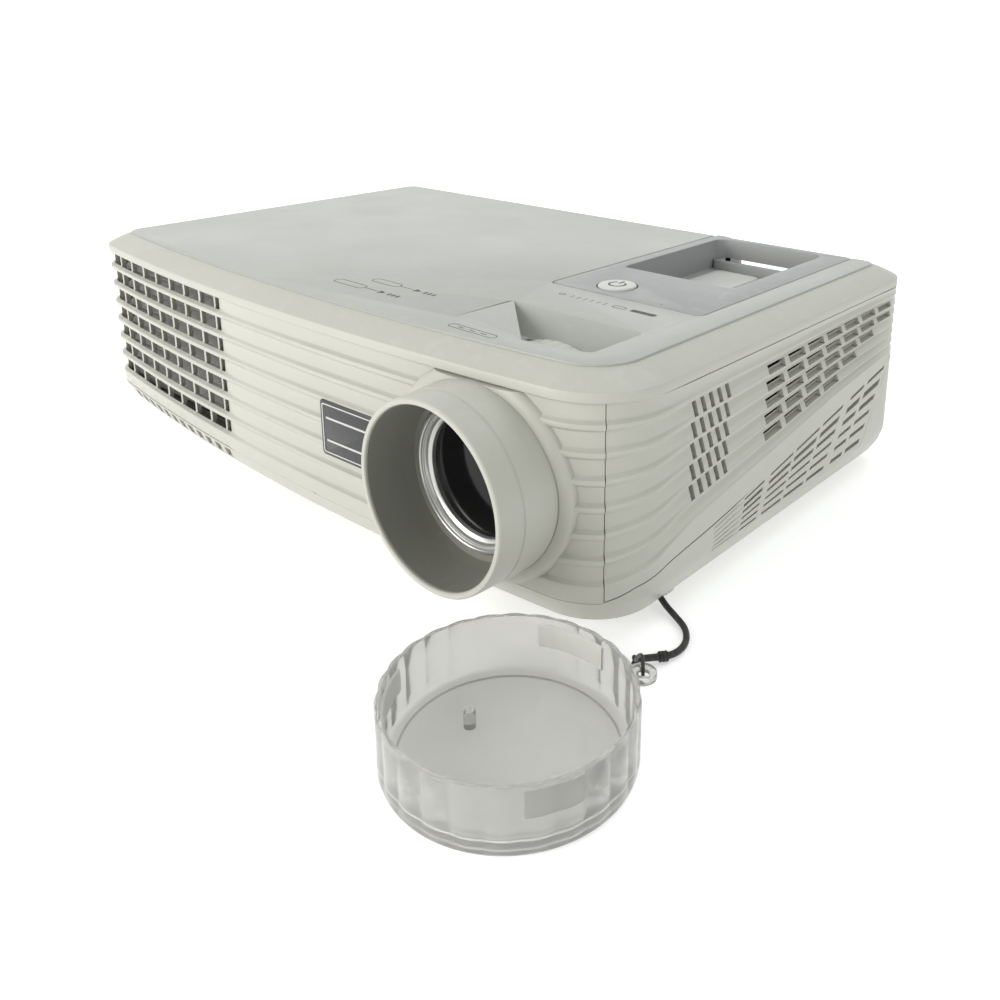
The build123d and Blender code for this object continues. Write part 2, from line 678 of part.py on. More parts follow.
def vga_port():
    """Fifteen-way analogue video socket with two jack screws."""
    x0, x1, z0, z1 = VGA
    middle = (z0 + z1) / 2
    body = block(x0 + CLEAR, x1 - CLEAR, 82, HALF_D - 0.4, z0 + CLEAR, z1 - CLEAR)
    body += block(x0 + 7, x1 - 7, 90, HALF_D + 0, middle - 4, middle + 4)
    body -= block(x0 + 8, x1 - 8, 93, HALF_D + 5, middle - 3, middle + 3)
    return body + tube_y(x0 + 3.5, middle, 96, HALF_D, 2) + tube_y(x1 - 3.5, middle, 96, HALF_D, 2)


def video_jacks():
    """Round video sockets side by side."""
    x0, x1, z0, z1 = VIDEO
    body = block(x0 + CLEAR, x1 - CLEAR, 80, HALF_D - 1, z0 + CLEAR, z1 - CLEAR)
    for x in (x0 + 6, x1 - 6):
        body += tube_y(x, (z0 + z1) / 2, 90, HALF_D, 4.2)
        body -= tube_y(x, (z0 + z1) / 2, 86, HALF_D + 5, 3.0)
        body += tube_y(x, (z0 + z1) / 2, 84, 94, 0.9)
    return body


def serial_port():
    """Control socket."""
    x0, x1, z0, z1 = SERIAL
    body = block(x0 + CLEAR, x1 - CLEAR, 80, HALF_D - 0.6, z0 + CLEAR, z1 - CLEAR)
    return body - block(x0 + 2, x1 - 2, 84, HALF_D + 5, z0 + 2, z1 - 2)


def audio_jack():
    """3.5 mm audio socket with its round bore."""
    x, z, radius = AUDIO
    body = tube_y(x, z, 80, HALF_D, radius - CLEAR / 2)
    body += block(x - 4.5, x + 4.5, 78, 92, 15.6, 27)
    return body - tube_y(x, z, 81, HALF_D + 2, 1.78)


def ir_window():
    """Dark remote-control window in the rear panel."""
    x0, x1, z0, z1 = IR_WINDOW
    return block(x0 + CLEAR, x1 - CLEAR, 94, HALF_D, z0 + CLEAR, z1 - CLEAR)


def exhaust_louvre():
    """Light grey slanted louvres just behind the exhaust grille."""
    frame = block(-136, -38, -83.5, -81.5, 14, 72) - block(-133, -41, -90, -70, 17, 69)
    for row in range(12):
        blade = Pos(-87, -82.5, 20 + row * 4.2) * Rot(35, 0, 0) * Box(94, 3.2, 1.0)
        frame += blade
    return frame


# ---- feet, screws, underside --------------------------------------------------------
FOOT_LATCH_X0 = FOOT_X + 17
FOOT_LATCH_X1 = FOOT_X + 35
MOUNT_POINTS = [(-104.0, -30.0), (-104.0, 64.0), (66.0, 18.0)]
SCREW_POINTS = [(-134, -62), (134, -60), (-134, 84), (134, 30), (20, 84), (-60, 84)]
TUB_ROWS = 6
TUB_SLOTS = 5
TUB_ORIGIN_Y = -38.0
TUB_Y0 = -7.0
TUB_PITCH = 15.0
TUB_Z_LOW = 14.5
TUB_START_PITCH = 1.4
TUB_SPREAD = 0.028


def foot_housing():
    """Guide tube of the drop-down front foot."""
    tube = tube_z(FOOT_X, FOOT_Y, Z_BOTTOM + WALL, 50, FOOT_R + 3, FOOT_R + 0.08)
    return tube + tube_z(FOOT_X, FOOT_Y, 48, 50, FOOT_R + 3)


def front_foot():
    """Drop-down front foot: a toothed post on a rubber-shod pad."""
    post = tube_z(FOOT_X, FOOT_Y, 1.5, 46, FOOT_R)
    for step in range(7):
        z = 14 + step * 4
        post -= block(FOOT_X + FOOT_R - 1.2, FOOT_X + FOOT_R + 1, FOOT_Y - 3, FOOT_Y + 3, z, z + 2)
    pad = tube_z(FOOT_X, FOOT_Y, 0, 4.2, FOOT_R + 3)
    return post + fillet(pad.edges().sort_by(Axis.Z)[0], 1.2)


def foot_release():
    """Sprung release key beside the front foot."""
    x0, x1 = FOOT_LATCH_X0 + CLEAR, FOOT_LATCH_X1 - CLEAR
    key = block(x0, x1, FOOT_Y - 5.7, FOOT_Y + 5.7, Z_BOTTOM - 0.8, Z_BOTTOM + WALL + 1)
    key = fillet(key.edges().filter_by(Axis.Z), 2.0)
    return key + block(x0 - 1.2, x1 + 1.2, FOOT_Y - 7, FOOT_Y + 7, Z_BOTTOM + WALL + 0.9, Z_BOTTOM + WALL + 2.5)


def rear_foot_screw():
    """Knurled screw foot at the rear, for levelling."""
    foot = tube_z(REAR_FOOT_X, REAR_FOOT_Y, 0, 3.6, 9)
    foot = fillet(foot.edges().sort_by(Axis.Z)[0], 1.0)
    for step in range(18):
        angle = math.radians(step * 20)
        x = REAR_FOOT_X + 9.6 * math.cos(angle)
        y = REAR_FOOT_Y + 9.6 * math.sin(angle)
        foot -= tube_z(x, y, -1, 5, 1.2)
    return foot + tube_z(REAR_FOOT_X, REAR_FOOT_Y, 3, 20, 4)


def rear_foot_nut():
    """Threaded insert that the rear screw foot turns in."""
    return tube_z(REAR_FOOT_X, REAR_FOOT_Y, Z_BOTTOM + WALL, 24, 8, 4.06)


def rear_foot_fixed():
    """Plain rubber foot at the other rear corner."""
    foot = tube_z(-REAR_FOOT_X, REAR_FOOT_Y, 0, Z_BOTTOM, 9)
    return fillet(foot.edges().sort_by(Axis.Z)[0], 1.2)


def case_screws():
    """Screws that hold the two halves of the case together."""
    screws = None
    for x, y in SCREW_POINTS:
        head = tube_z(x, y, Z_BOTTOM - 0.9, Z_BOTTOM, 2.8) - block(x - 2, x + 2, y - 0.4, y + 0.4, 3, 4.7)
        shank = tube_z(x, y, Z_BOTTOM - 0.1, 12, 1.4)
        screws = head + shank if screws is None else screws + head + shank
    return screws


ANCHOR = (141.0, -52.0)


def strap_anchor():
    """Small post under the case that the tether is tied into."""
    x, y = ANCHOR
    return block(x - 3, x + 3, y - 3, y + 3, Z_BOTTOM - 2.6, Z_BOTTOM)


# ---- lens cap and tether ------------------------------------------------------------
def lens_cap():
    """Clear fluted cap, lying open side up beside the case, with a peg and an eyelet."""
    body = tube_z(CAP_X, CAP_Y, 0, CAP_HEIGHT, CAP_R)
    body -= tube_z(CAP_X, CAP_Y, CAP_FLOOR, CAP_HEIGHT + 1, CAP_BORE_R)
    body += tube_z(CAP_X - 12, CAP_Y - 2, CAP_FLOOR - 0.5, CAP_FLOOR + 5, 1.6)
    angle = math.radians(EYELET_ANGLE)
    x = CAP_X + EYELET_R * math.cos(angle)
    y = CAP_Y + EYELET_R * math.sin(angle)
    tab = tube_z(x, y, 13, 15, 3.6)
    tab += Pos(x - 1.6 * math.cos(angle), y - 1.6 * math.sin(angle), 14) * Rot(0, 0, EYELET_ANGLE) * Box(3.2, 7.2, 2)
    body += tab - tube_z(CAP_X, CAP_Y, 10, 18, CAP_BORE_R + 0.5)
    return body - tube_z(x, y, 10, 18, 1.9)


def cap_pads():
    """Three frosted grip pads inside the cap's wall."""
    pads = None
    wall = tube_z(CAP_X, CAP_Y, 9, CAP_HEIGHT - 2, CAP_BORE_R, CAP_BORE_R - 0.6)
    for angle in (100, 220, 340):
        sector = Pos(CAP_X, CAP_Y, 15) * Rot(0, 0, angle) * (Pos(25, 0, 0) * Box(16, 14, 30))
        pad = wall & sector
        pads = pad if pads is None else pads + pad
    return pads


TETHER_ROUTE = [(141.0, -55.0, 3.7), (145.5, -57.6, 2.4), (151.5, -59.6, 1.4), (157.6, -62.6, 1.1)]
TETHER_ROUTE += [(161.6, -68.6, 1.05), (161.9, -75.4, 1.3), (158.6, -80.6, 1.8), (156.0, -84.2, 2.0)]
LOOP_ROUTE = [(156.4, -85.6, 2.6), (160.6, -91.4, 7.6), (164.6, -95.4, 13.4), (168.2, -98.6, 17.0)]
LOOP_ROUTE += [(170.6, -101.5, 15.6), (170.6, -101.5, 12.0), (166.6, -97.6, 8.4), (161.9, -92.8, 4.6)]
LOOP_ROUTE += [(157.9, -87.0, 1.9)]
SLEEVE_LENGTH = 5.0


def corner_radii(route):
    """Radius of each corner arc: as large as its two runs allow."""
    radii = []
    for before, here, after in zip(route, route[1:], route[2:]):
        first = Vector(*here) - Vector(*before)
        second = Vector(*after) - Vector(*here)
        turn = math.radians(first.get_angle(second))
        radii.append(0.45 * min(first.length, second.length) / math.tan(turn / 2))
    return radii


def cord_tube(name, route, diameter):
    """A round cord along straight runs joined by tangent arcs."""
    radii = corner_radii(route)
    path = FilletPolyline(*route, radius=radii)
    start = Plane(origin=path @ 0, z_dir=path % 0)
    tube = sweep(start * Circle(diameter / 2), path=path)
    section = math.pi * diameter * diameter / 4
    print(name, "length", round(path.length, 2), "radii", [round(r, 1) for r in radii])
    print(name, "volume", round(tube.volume, 2), "expected", round(section * path.length, 2))
    return tube


def tether_sleeve():
    """Thick crimp sleeve on the tether."""
    start, end = Vector(*TETHER_ROUTE[5]), Vector(*TETHER_ROUTE[6])
    middle = start + (end - start) * 0.5
    plane = Plane(origin=middle, z_dir=(end - start).normalized())
    ring = plane * Cylinder(CORD_D * 0.8, SLEEVE_LENGTH * 0.5)
    return ring - plane * Cylinder(CORD_D / 2, SLEEVE_LENGTH)


def tether_knot():
    """Knot that ties the thin loop to the tether."""
    x, y, z = TETHER_ROUTE[-1]
    return Pos(x + 0.6, y - 1.0, z + 0.1) * Sphere(2.0)


PARTS = {
    "lower_case": lower_case,
    "front_cover": front_cover,
    "top_cover": top_cover,
    "rear_panel": rear_panel,
    "handle_insert": handle_insert,
    "power_key": power_key,
    "pocket_key": pocket_key,
    "key_board": key_board,
    "badge_plate": badge_plate,
    "lens_hood": lens_hood,
    "lens_barrel": lens_barrel,
    "front_cell": front_cell,
    "front_lens": front_lens,
    "focus_ring": focus_ring,
    "zoom_ring": zoom_ring,
    "zoom_group": zoom_group,
    "middle_lens": lambda: lens_element(-55, 14.0, 2.0, 3.0),
    "rear_lens": lambda: lens_element(-43, BARREL_R - 2.0, 1.5, 3.0),
    "optical_engine": optical_engine,
    "light_tunnel": light_tunnel,
    "dmd_board": dmd_board,
    "dmd_heatsink": dmd_heatsink,
    "wheel_motor": wheel_motor,
    "colour_wheel": colour_wheel,
    "lamp_housing": lamp_housing,
    "lamp_reflector": lamp_reflector,
    "lamp_burner": lamp_burner,
    "lamp_door": lamp_door,
    "lamp_door_screw": lamp_door_screw,
    "ballast_board": ballast_board,
    "power_board": power_board,
    "main_board": main_board,
    "board_stands": board_stands,
    "fan_frame": fan_frame,
    "fan_rotor": fan_rotor,
    "blower_housing": blower_housing,
    "blower_rotor": blower_rotor,
    "speaker": speaker,
    "air_filter": air_filter,
    "exhaust_louvre": exhaust_louvre,
    "mains_inlet": mains_inlet,
    "vga_port": vga_port,
    "video_jacks": video_jacks,
    "serial_port": serial_port,
    "audio_jack": audio_jack,
    "ir_window": ir_window,
    "foot_housing": foot_housing,
    "front_foot": front_foot,
    "foot_release": foot_release,
    "rear_foot_screw": rear_foot_screw,
    "rear_foot_nut": rear_foot_nut,
    "rear_foot_fixed": rear_foot_fixed,
    "case_screws": case_screws,
    "strap_anchor": strap_anchor,
    "lens_cap": lens_cap,
    "cap_pads": cap_pads,
    "tether": lambda: cord_tube("tether", TETHER_ROUTE, CORD_D),
    "tether_loop": lambda: cord_tube("tether_loop", LOOP_ROUTE, LOOP_D),
    "tether_sleeve": tether_sleeve,
    "tether_knot": tether_knot,
}

for part_name, make in PARTS.items():
    save(part_name, make())
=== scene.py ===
"""The finished look of a small home projector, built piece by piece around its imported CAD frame."""

import logging
import math
from collections.abc import Callable, Iterable, Sequence
from dataclasses import dataclass, field
from enum import Enum

import bmesh
import bpy
from mathutils import Matrix, Vector


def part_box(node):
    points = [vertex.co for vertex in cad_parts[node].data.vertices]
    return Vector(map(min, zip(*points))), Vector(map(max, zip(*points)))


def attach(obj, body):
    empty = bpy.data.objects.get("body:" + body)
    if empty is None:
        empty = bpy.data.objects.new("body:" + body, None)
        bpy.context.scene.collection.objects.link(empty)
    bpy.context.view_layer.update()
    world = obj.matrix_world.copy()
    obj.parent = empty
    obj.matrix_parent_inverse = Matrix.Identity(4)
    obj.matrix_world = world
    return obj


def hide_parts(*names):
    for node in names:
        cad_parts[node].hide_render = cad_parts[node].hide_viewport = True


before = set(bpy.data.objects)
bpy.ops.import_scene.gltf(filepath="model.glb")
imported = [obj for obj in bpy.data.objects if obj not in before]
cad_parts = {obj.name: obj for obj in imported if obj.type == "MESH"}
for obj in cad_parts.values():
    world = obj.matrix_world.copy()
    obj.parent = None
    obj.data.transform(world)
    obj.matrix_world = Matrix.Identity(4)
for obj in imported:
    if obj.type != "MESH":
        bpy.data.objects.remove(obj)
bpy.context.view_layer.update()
LOG = logging.getLogger("projector")

MM = 0.001
CASE_LOW, CASE_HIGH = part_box("top_cover")
CASE_Y = (CASE_LOW.y + CASE_HIGH.y) / 2

Point = tuple[float, float, float]
Spot = tuple[float, float]
Colour = tuple[float, float, float]


def place(x: float, y: float, z: float) -> Vector:
    """Turns a point in case millimetres into frame metres.

    Args:
        x: Millimetres to the vented side from the middle of the case.
        y: Millimetres to the rear from the middle of the case.
        z: Millimetres above the feet.

    Returns:
        The point in the shared frame.
    """
    return Vector((x * MM, y * MM + CASE_Y, z * MM))


def mix(low: float, high: float, share: float) -> float:
    """Value at a share of the way from low to high."""
    return low + (high - low) * share


def ease(low: float, high: float, value: float) -> float:
    """Smooth step from 0 at low to 1 at high."""
    share = min(max((value - low) / (high - low), 0.0), 1.0)
    return share * share * (3 - 2 * share)


def table_value(table: Sequence[Spot], at: float) -> float:
    """Reads a value off a table of (place, value) pairs, straight between entries.

    Args:
        table: Pairs in rising order of place.
        at: Where to read.

    Returns:
        The value there, held level beyond both ends.
    """
    if at <= table[0][0]:
        return table[0][1]
    for (a, low), (b, high) in zip(table, table[1:]):
        if at <= b:
            return mix(low, high, (at - a) / (b - a))
    return table[-1][1]


# ---- meshes -------------------------------------------------------------------------
class Axis(Enum):
    """Line that a turned piece is spun about."""

    ALONG_LENS = "y"
    UPRIGHT = "z"


@dataclass
class Draft:
    """Corners and faces of a piece in case millimetres, before they become a mesh."""

    points: list[Point] = field(default_factory=list)
    faces: list[tuple[int, ...]] = field(default_factory=list)

    def rings(self, rings: Sequence[Sequence[Point]], caps: bool = True, joined: bool = True) -> "Draft":
        """Lofts through rings of equal count.

        Args:
            rings: Rings of corners, in order.
            caps: Whether the first and last ring are filled.
            joined: Whether each ring closes on itself.

        Returns:
            This draft.
        """
        start = len(self.points)
        count = len(rings[0])
        for ring in rings:
            self.points.extend(ring)
        for step in range(len(rings) - 1):
            low = start + step * count
            for i in range(count if joined else count - 1):
                j = (i + 1) % count
                self.faces.append((low + i, low + j, low + count + j, low + count + i))
        if caps:
            self.faces.append(tuple(range(start + count - 1, start - 1, -1)))
            last = start + (len(rings) - 1) * count
            self.faces.append(tuple(range(last, last + count)))
        return self

    def prism(self, outline: Sequence[Spot], z0: float, z1: float) -> "Draft":
        """Stands a flat outline up between two heights."""
        return self.rings([[(x, y, z) for x, y in outline] for z in (z0, z1)])

    def wall(self, outline: Sequence[Spot], y0: float, y1: float) -> "Draft":
        """Carries an (x, z) outline along the lens direction."""
        return self.rings([[(x, y, z) for x, z in outline] for y in (y0, y1)])

    def turned(
        self, profile: Sequence[Spot], centre: Spot, axis: Axis = Axis.ALONG_LENS, steps: int = 96,
        ripple: Callable[[float, float], float] | None = None,
    ) -> "Draft":
        """Spins a closed (radius, reach) profile about an axis.

        Args:
            profile: Radius and distance along the axis, as a closed loop.
            centre: The axis: (x, z) for the lens direction, (x, y) when upright.
            axis: Which way the axis runs.
            steps: Sections round the piece.
            ripple: Adds to the radius, from the angle and the reach.

        Returns:
            This draft.
        """
        start = len(self.points)
        count = len(profile)
        for step in range(steps):
            angle = 2 * math.pi * step / steps
            for radius, reach in profile:
                size = radius + (ripple(angle, reach) if ripple and radius > 0 else 0.0)
                a = centre[0] + size * math.cos(angle)
                b = centre[1] + size * math.sin(angle)
                self.points.append((a, reach, b) if axis is Axis.ALONG_LENS else (a, b, reach))
        for step in range(steps):
            here = start + step * count
            there = start + (step + 1) % steps * count
            for i in range(count):
                j = (i + 1) % count
                self.faces.append((here + i, here + j, there + j, there + i))
        return self

    def build(self, name: str, closed: bool = True) -> bpy.types.Object:
        """Makes the mesh object.

        Args:
            name: Piece name.
            closed: Whether the surface is a closed shell whose outside can be found.

        Returns:
            The new object, in metres, at the origin.
        """
        mesh = bpy.data.meshes.new(name)
        mesh.from_pydata([place(*p) for p in self.points], [], self.faces)
        work = bmesh.new()
        work.from_mesh(mesh)
        bmesh.ops.remove_doubles(work, verts=work.verts, dist=2e-6)
        bmesh.ops.dissolve_degenerate(work, edges=work.edges, dist=1e-6)
        if closed:
            bmesh.ops.recalc_face_normals(work, faces=work.faces)
        work.to_mesh(mesh)
        work.free()
        piece = bpy.data.objects.new(name, mesh)
        bpy.context.scene.collection.objects.link(piece)
        return piece


def settle(piece: bpy.types.Object, crease: float = 32.0) -> bpy.types.Object:
    """Turns a piece's modifiers into plain mesh and keeps its sharper edges hard.

    Args:
        piece: The piece.
        crease: Angle in degrees from which an edge stays hard.

    Returns:
        The same piece.
    """
    graph = bpy.context.evaluated_depsgraph_get()
    baked = bpy.data.meshes.new_from_object(piece.evaluated_get(graph), preserve_all_data_layers=True, depsgraph=graph)
    old = piece.data
    piece.modifiers.clear()
    piece.data = baked
    baked.name = piece.name
    if old.users == 0:
        bpy.data.meshes.remove(old)
    baked.shade_smooth()
    baked.set_sharp_from_angle(angle=math.radians(crease))
    return piece


def soften(piece: bpy.types.Object, width: float, segments: int = 2, angle: float = 40.0) -> bpy.types.Object:
    """Rounds every edge sharper than an angle.

    Args:
        piece: The piece.
        width: Bevel width in millimetres.
        segments: Steps across the rounding.
        angle: Smallest angle, in degrees, that is rounded.

    Returns:
        The same piece.
    """
    bevel = piece.modifiers.new("soft_edges", "BEVEL")
    bevel.width = width * MM
    bevel.segments = segments
    bevel.limit_method = "ANGLE"
    bevel.angle_limit = math.radians(angle)
    bevel.miter_outer = "MITER_ARC"
    bevel.harden_normals = False
    return settle(piece)


def thicken(piece: bpy.types.Object, wall: float) -> bpy.types.Object:
    """Gives an outward-facing skin a wall that grows inwards, in millimetres."""
    solid = piece.modifiers.new("wall", "SOLIDIFY")
    solid.thickness = wall * MM
    solid.offset = -1.0
    solid.use_even_offset = False
    return settle(piece)


def carve(piece: bpy.types.Object, tool: bpy.types.Object, how: str = "DIFFERENCE") -> bpy.types.Object:
    """Cuts a piece with another closed shape, which is used up.

    Args:
        piece: The piece that stays.
        tool: The cutting shape.
        how: DIFFERENCE, INTERSECT or UNION.

    Returns:
        The cut piece.
    """
    cut = piece.modifiers.new("cut", "BOOLEAN")
    cut.operation = how
    cut.solver = "EXACT"
    cut.object = tool
    settle(piece)
    mesh = tool.data
    bpy.data.objects.remove(tool)
    bpy.data.meshes.remove(mesh)
    return piece


def rounded_box(x0: float, x1: float, y0: float, y1: float, radius: float, steps: int = 6) -> list[Spot]:
    """Outline of a rectangle with round corners, counter-clockwise."""
    spots = []
    corners = ((x1, y0, -1), (x1, y1, 0), (x0, y1, 1), (x0, y0, 2))
    for x, y, quarter in corners:
        cx = x - radius if x == x1 else x + radius
        cy = y - radius if y == y1 else y + radius
        for step in range(steps + 1):
            angle = math.pi / 2 * (quarter + step / steps)
            spots.append((cx + radius * math.cos(angle), cy + radius * math.sin(angle)))
    return spots


def oval(x: float, y: float, rx: float, ry: float, steps: int = 32) -> list[Spot]:
    """Outline of an ellipse."""
    turns = (2 * math.pi * step / steps for step in range(steps))
    return [(x + rx * math.cos(a), y + ry * math.sin(a)) for a in turns]


def frame_prism(draft: Draft, outer: Sequence[Spot], inner: Sequence[Spot], z0: float, z1: float) -> None:
    """Adds an upright band between two outlines of equal count.

    Args:
        draft: Where the band is added.
        outer: Outer outline.
        inner: Inner outline.
        z0: Underside height.
        z1: Top height.
    """
    loops = [[(x, y, z) for x, y in line] for line, z in ((outer, z0), (outer, z1), (inner, z1), (inner, z0))]
    draft.rings([*loops, loops[0]], caps=False)


# ---- the case in plan ---------------------------------------------------------------
@dataclass
class Stretch:
    """One straight or round stretch of the outline."""

    start: Spot
    end: Spot
    centre: Spot = (0.0, 0.0)
    radius: float = 0.0
    turn: Spot = (0.0, 0.0)

    def length(self) -> float:
        """Length in millimetres."""
        if self.radius:
            return self.radius * (self.turn[1] - self.turn[0])
        return math.dist(self.start, self.end)

    def at(self, run: float, inset: float) -> tuple[float, float, float, float]:
        """Point and outward direction a run along the stretch, moved inwards by inset."""
        if self.radius:
            angle = self.turn[0] + run / self.radius
            nx, ny = math.cos(angle), math.sin(angle)
            size = self.radius - inset
            return self.centre[0] + size * nx, self.centre[1] + size * ny, nx, ny
        share = run / self.length()
        tx = (self.end[0] - self.start[0]) / self.length()
        ty = (self.end[1] - self.start[1]) / self.length()
        x = mix(self.start[0], self.end[0], share) - ty * inset
        y = mix(self.start[1], self.end[1], share) + tx * inset
        return x, y, ty, -tx


@dataclass
class CaseOutline:
    """The case in plan: bowed front, straight sides and rear, four round corners."""

    half_width: float = 150.0
    front: float = -98.0
    rear: float = 98.0
    sag: float = 10.0
    corner_left: float = 17.0
    corner_right: float = 26.0
    corner_rear: float = 15.0
    stretches: list[Stretch] = field(default_factory=list)

    def __post_init__(self) -> None:
        """Works out the stretches, starting down the left side."""
        half, rear_r = self.half_width, self.corner_rear
        bow = (half * half + self.sag * self.sag) / (2 * self.sag)
        bow_y = self.front + bow

        def corner(radius: float, side: int) -> tuple[Spot, float]:
            """Centre of a front corner and the direction where it meets the bow."""
            x = side * (half - radius)
            y = bow_y - math.sqrt((bow - radius) ** 2 - x * x)
            return (x, y), 2 * math.pi + math.atan2(y - bow_y, x)

        left, left_turn = corner(self.corner_left, -1)
        right, right_turn = corner(self.corner_right, 1)
        rear_left = (-half + rear_r, self.rear - rear_r)
        rear_right = (half - rear_r, self.rear - rear_r)
        none = (0.0, 0.0)
        self.stretches = [
            Stretch((-half, rear_left[1]), (-half, left[1])),
            Stretch(none, none, left, self.corner_left, (math.pi, left_turn)),
            Stretch(none, none, (0.0, bow_y), bow, (left_turn, right_turn)),
            Stretch(none, none, right, self.corner_right, (right_turn, 2 * math.pi)),
            Stretch((half, right[1]), (half, rear_right[1])),
            Stretch(none, none, rear_right, rear_r, (0.0, math.pi / 2)),
            Stretch((rear_right[0], self.rear), (rear_left[0], self.rear)),
            Stretch(none, none, rear_left, rear_r, (math.pi / 2, math.pi)),
        ]

    def total(self) -> float:
        """Length all the way round."""
        return sum(stretch.length() for stretch in self.stretches)

    def mark(self, index: int) -> float:
        """Station where a stretch starts."""
        return sum(stretch.length() for stretch in self.stretches[:index])

    def at(self, station: float, inset: float = 0.0) -> tuple[float, float, float, float]:
        """Point and outward direction at a station round the case.

        Args:
            station: Millimetres from the rear of the left side.
            inset: How far inside the outline.

        Returns:
            x, y and the outward direction.
        """
        run = station % self.total()
        for stretch in self.stretches:
            if run <= stretch.length():
                return stretch.at(run, inset)
            run -= stretch.length()
        return self.stretches[0].at(0.0, inset)

    def find(self, value: float, along: int, low: int, high: int) -> float:
        """Station where x (along 0) or y (along 1) reaches a value.

        Args:
            value: The coordinate looked for.
            along: 0 for x, 1 for y.
            low: First stretch searched.
            high: Stretch after the last one searched.

        Returns:
            The station.
        """
        a, b = self.mark(low), self.mark(high)
        rising = self.at(b)[along] > self.at(a + 1e-6)[along]
        for _ in range(48):
            middle = (a + b) / 2
            if (self.at(middle)[along] < value) == rising:
                a = middle
            else:
                b = middle
        return (a + b) / 2

    def front_x(self, x: float) -> float:
        """Station on the front where x is reached."""
        return self.find(x, 0, 1, 4)

    def right_y(self, y: float) -> float:
        """Station on the vented side where y is reached."""
        return self.find(y, 1, 3, 6)

    def left_y(self, y: float) -> float:
        """Station on the plain side where y is reached."""
        return self.find(y, 1, 0, 2)

    def stations(self, start: float, end: float, straight: float = 6.0, corner: float = 1.6) -> list[float]:
        """Stations between two ends, closer together round the corners."""
        marks = [start]
        edges = [self.mark(i) for i in range(len(self.stretches) + 1)]
        edges += [self.total() + edge for edge in edges[1:]]
        inner = [e for e in edges if start + 0.01 < e < end - 0.01]
        for a, b in zip([start, *inner], [*inner, end]):
            middle = (a + b) / 2 % self.total()
            radius = 0.0
            run = middle
            for stretch in self.stretches:
                if run <= stretch.length():
                    radius = stretch.radius
                    break
                run -= stretch.length()
            pitch = corner if 0 < radius < 100 else straight
            count = max(1, round((b - a) / pitch))
            marks += [a + (b - a) * (i + 1) / count for i in range(count)]
        return marks


OUTLINE = CaseOutline()


# ---- finishes -----------------------------------------------------------------------
@dataclass
class Bench:
    """A node tree being wired."""

    tree: bpy.types.NodeTree

    def node(self, kind: str, **values: object) -> bpy.types.Node:
        """Adds a node and sets its properties."""
        made = self.tree.nodes.new(kind)
        for name, value in values.items():
            setattr(made, name, value)
        return made

    def link(self, source: bpy.types.NodeSocket, target: bpy.types.NodeSocket) -> None:
        """Joins two sockets."""
        self.tree.links.new(source, target)

    def noise(self, where: bpy.types.NodeSocket, scale: float, detail: float, rough: float = 0.55) -> bpy.types.Node:
        """Adds a noise texture read at the given coordinates."""
        made = self.node("ShaderNodeTexNoise")
        made.inputs["Scale"].default_value = scale
        made.inputs["Detail"].default_value = detail
        made.inputs["Roughness"].default_value = rough
        self.link(where, made.inputs["Vector"])
        return made

    def ramp(self, value: bpy.types.NodeSocket, low: float, high: float) -> bpy.types.NodeSocket:
        """Stretches a value so that low becomes 0 and high becomes 1."""
        made = self.node("ShaderNodeMapRange", clamp=True)
        made.inputs["From Min"].default_value = low
        made.inputs["From Max"].default_value = high
        self.link(value, made.inputs["Value"])
        return made.outputs["Result"]

    def maths(self, how: str, a: bpy.types.NodeSocket | float, b: bpy.types.NodeSocket | float) -> bpy.types.NodeSocket:
        """Adds a maths node on two values or sockets."""
        made = self.node("ShaderNodeMath", operation=how)
        for socket, value in zip(made.inputs, (a, b)):
            if isinstance(value, (int, float)):
                socket.default_value = value
            else:
                self.link(value, socket)
        return made.outputs[0]

    def blend(
        self, share: bpy.types.NodeSocket, a: bpy.types.NodeSocket | Colour, b: bpy.types.NodeSocket | Colour
    ) -> bpy.types.NodeSocket:
        """Mixes two colours by a mask."""
        made = self.node("ShaderNodeMix", data_type="RGBA")
        self.link(share, made.inputs["Factor"])
        for socket, value in ((made.inputs[6], a), (made.inputs[7], b)):
            if isinstance(value, tuple):
                socket.default_value = (*value, 1.0)
            else:
                self.link(value, socket)
        return made.outputs[2]


def make_group(name: str, inputs: Sequence[tuple[str, str, object]], outputs: Sequence[tuple[str, str]]) -> Bench:
    """Starts a shader group with named sockets.

    Args:
        name: Group name.
        inputs: Name, socket type and first value of each input.
        outputs: Name and socket type of each output.

    Returns:
        The bench of the new group.
    """
    tree = bpy.data.node_groups.new(name, "ShaderNodeTree")
    for label, kind, value in inputs:
        socket = tree.interface.new_socket(label, in_out="INPUT", socket_type=kind)
        if value is not None:
            socket.default_value = value
    for label, kind in outputs:
        tree.interface.new_socket(label, in_out="OUTPUT", socket_type=kind)
    return Bench(tree)


def moulded_grain() -> bpy.types.NodeTree:
    """Group: the fine spark-eroded texture and slow ripple of a moulded surface.

    Returns:
        The group, with a Height output.
    """
    inputs = [("Vector", "NodeSocketVector", None), ("Grain Size", "NodeSocketFloat", 1400.0), ("Sink", "NodeSocketFloat", 0.25)]
    bench = make_group("moulded_grain", inputs, [("Height", "NodeSocketFloat")])
    entry, leave = bench.node("NodeGroupInput"), bench.node("NodeGroupOutput")
    fine = bench.noise(entry.outputs["Vector"], 1.0, 2.0)
    bench.link(entry.outputs["Grain Size"], fine.inputs["Scale"])
    slow = bench.noise(entry.outputs["Vector"], 38.0, 1.0)
    sink = bench.maths("MULTIPLY", slow.outputs["Fac"], entry.outputs["Sink"])
    bench.link(bench.maths("ADD", fine.outputs["Fac"], sink), leave.inputs["Height"])
    return bench.tree


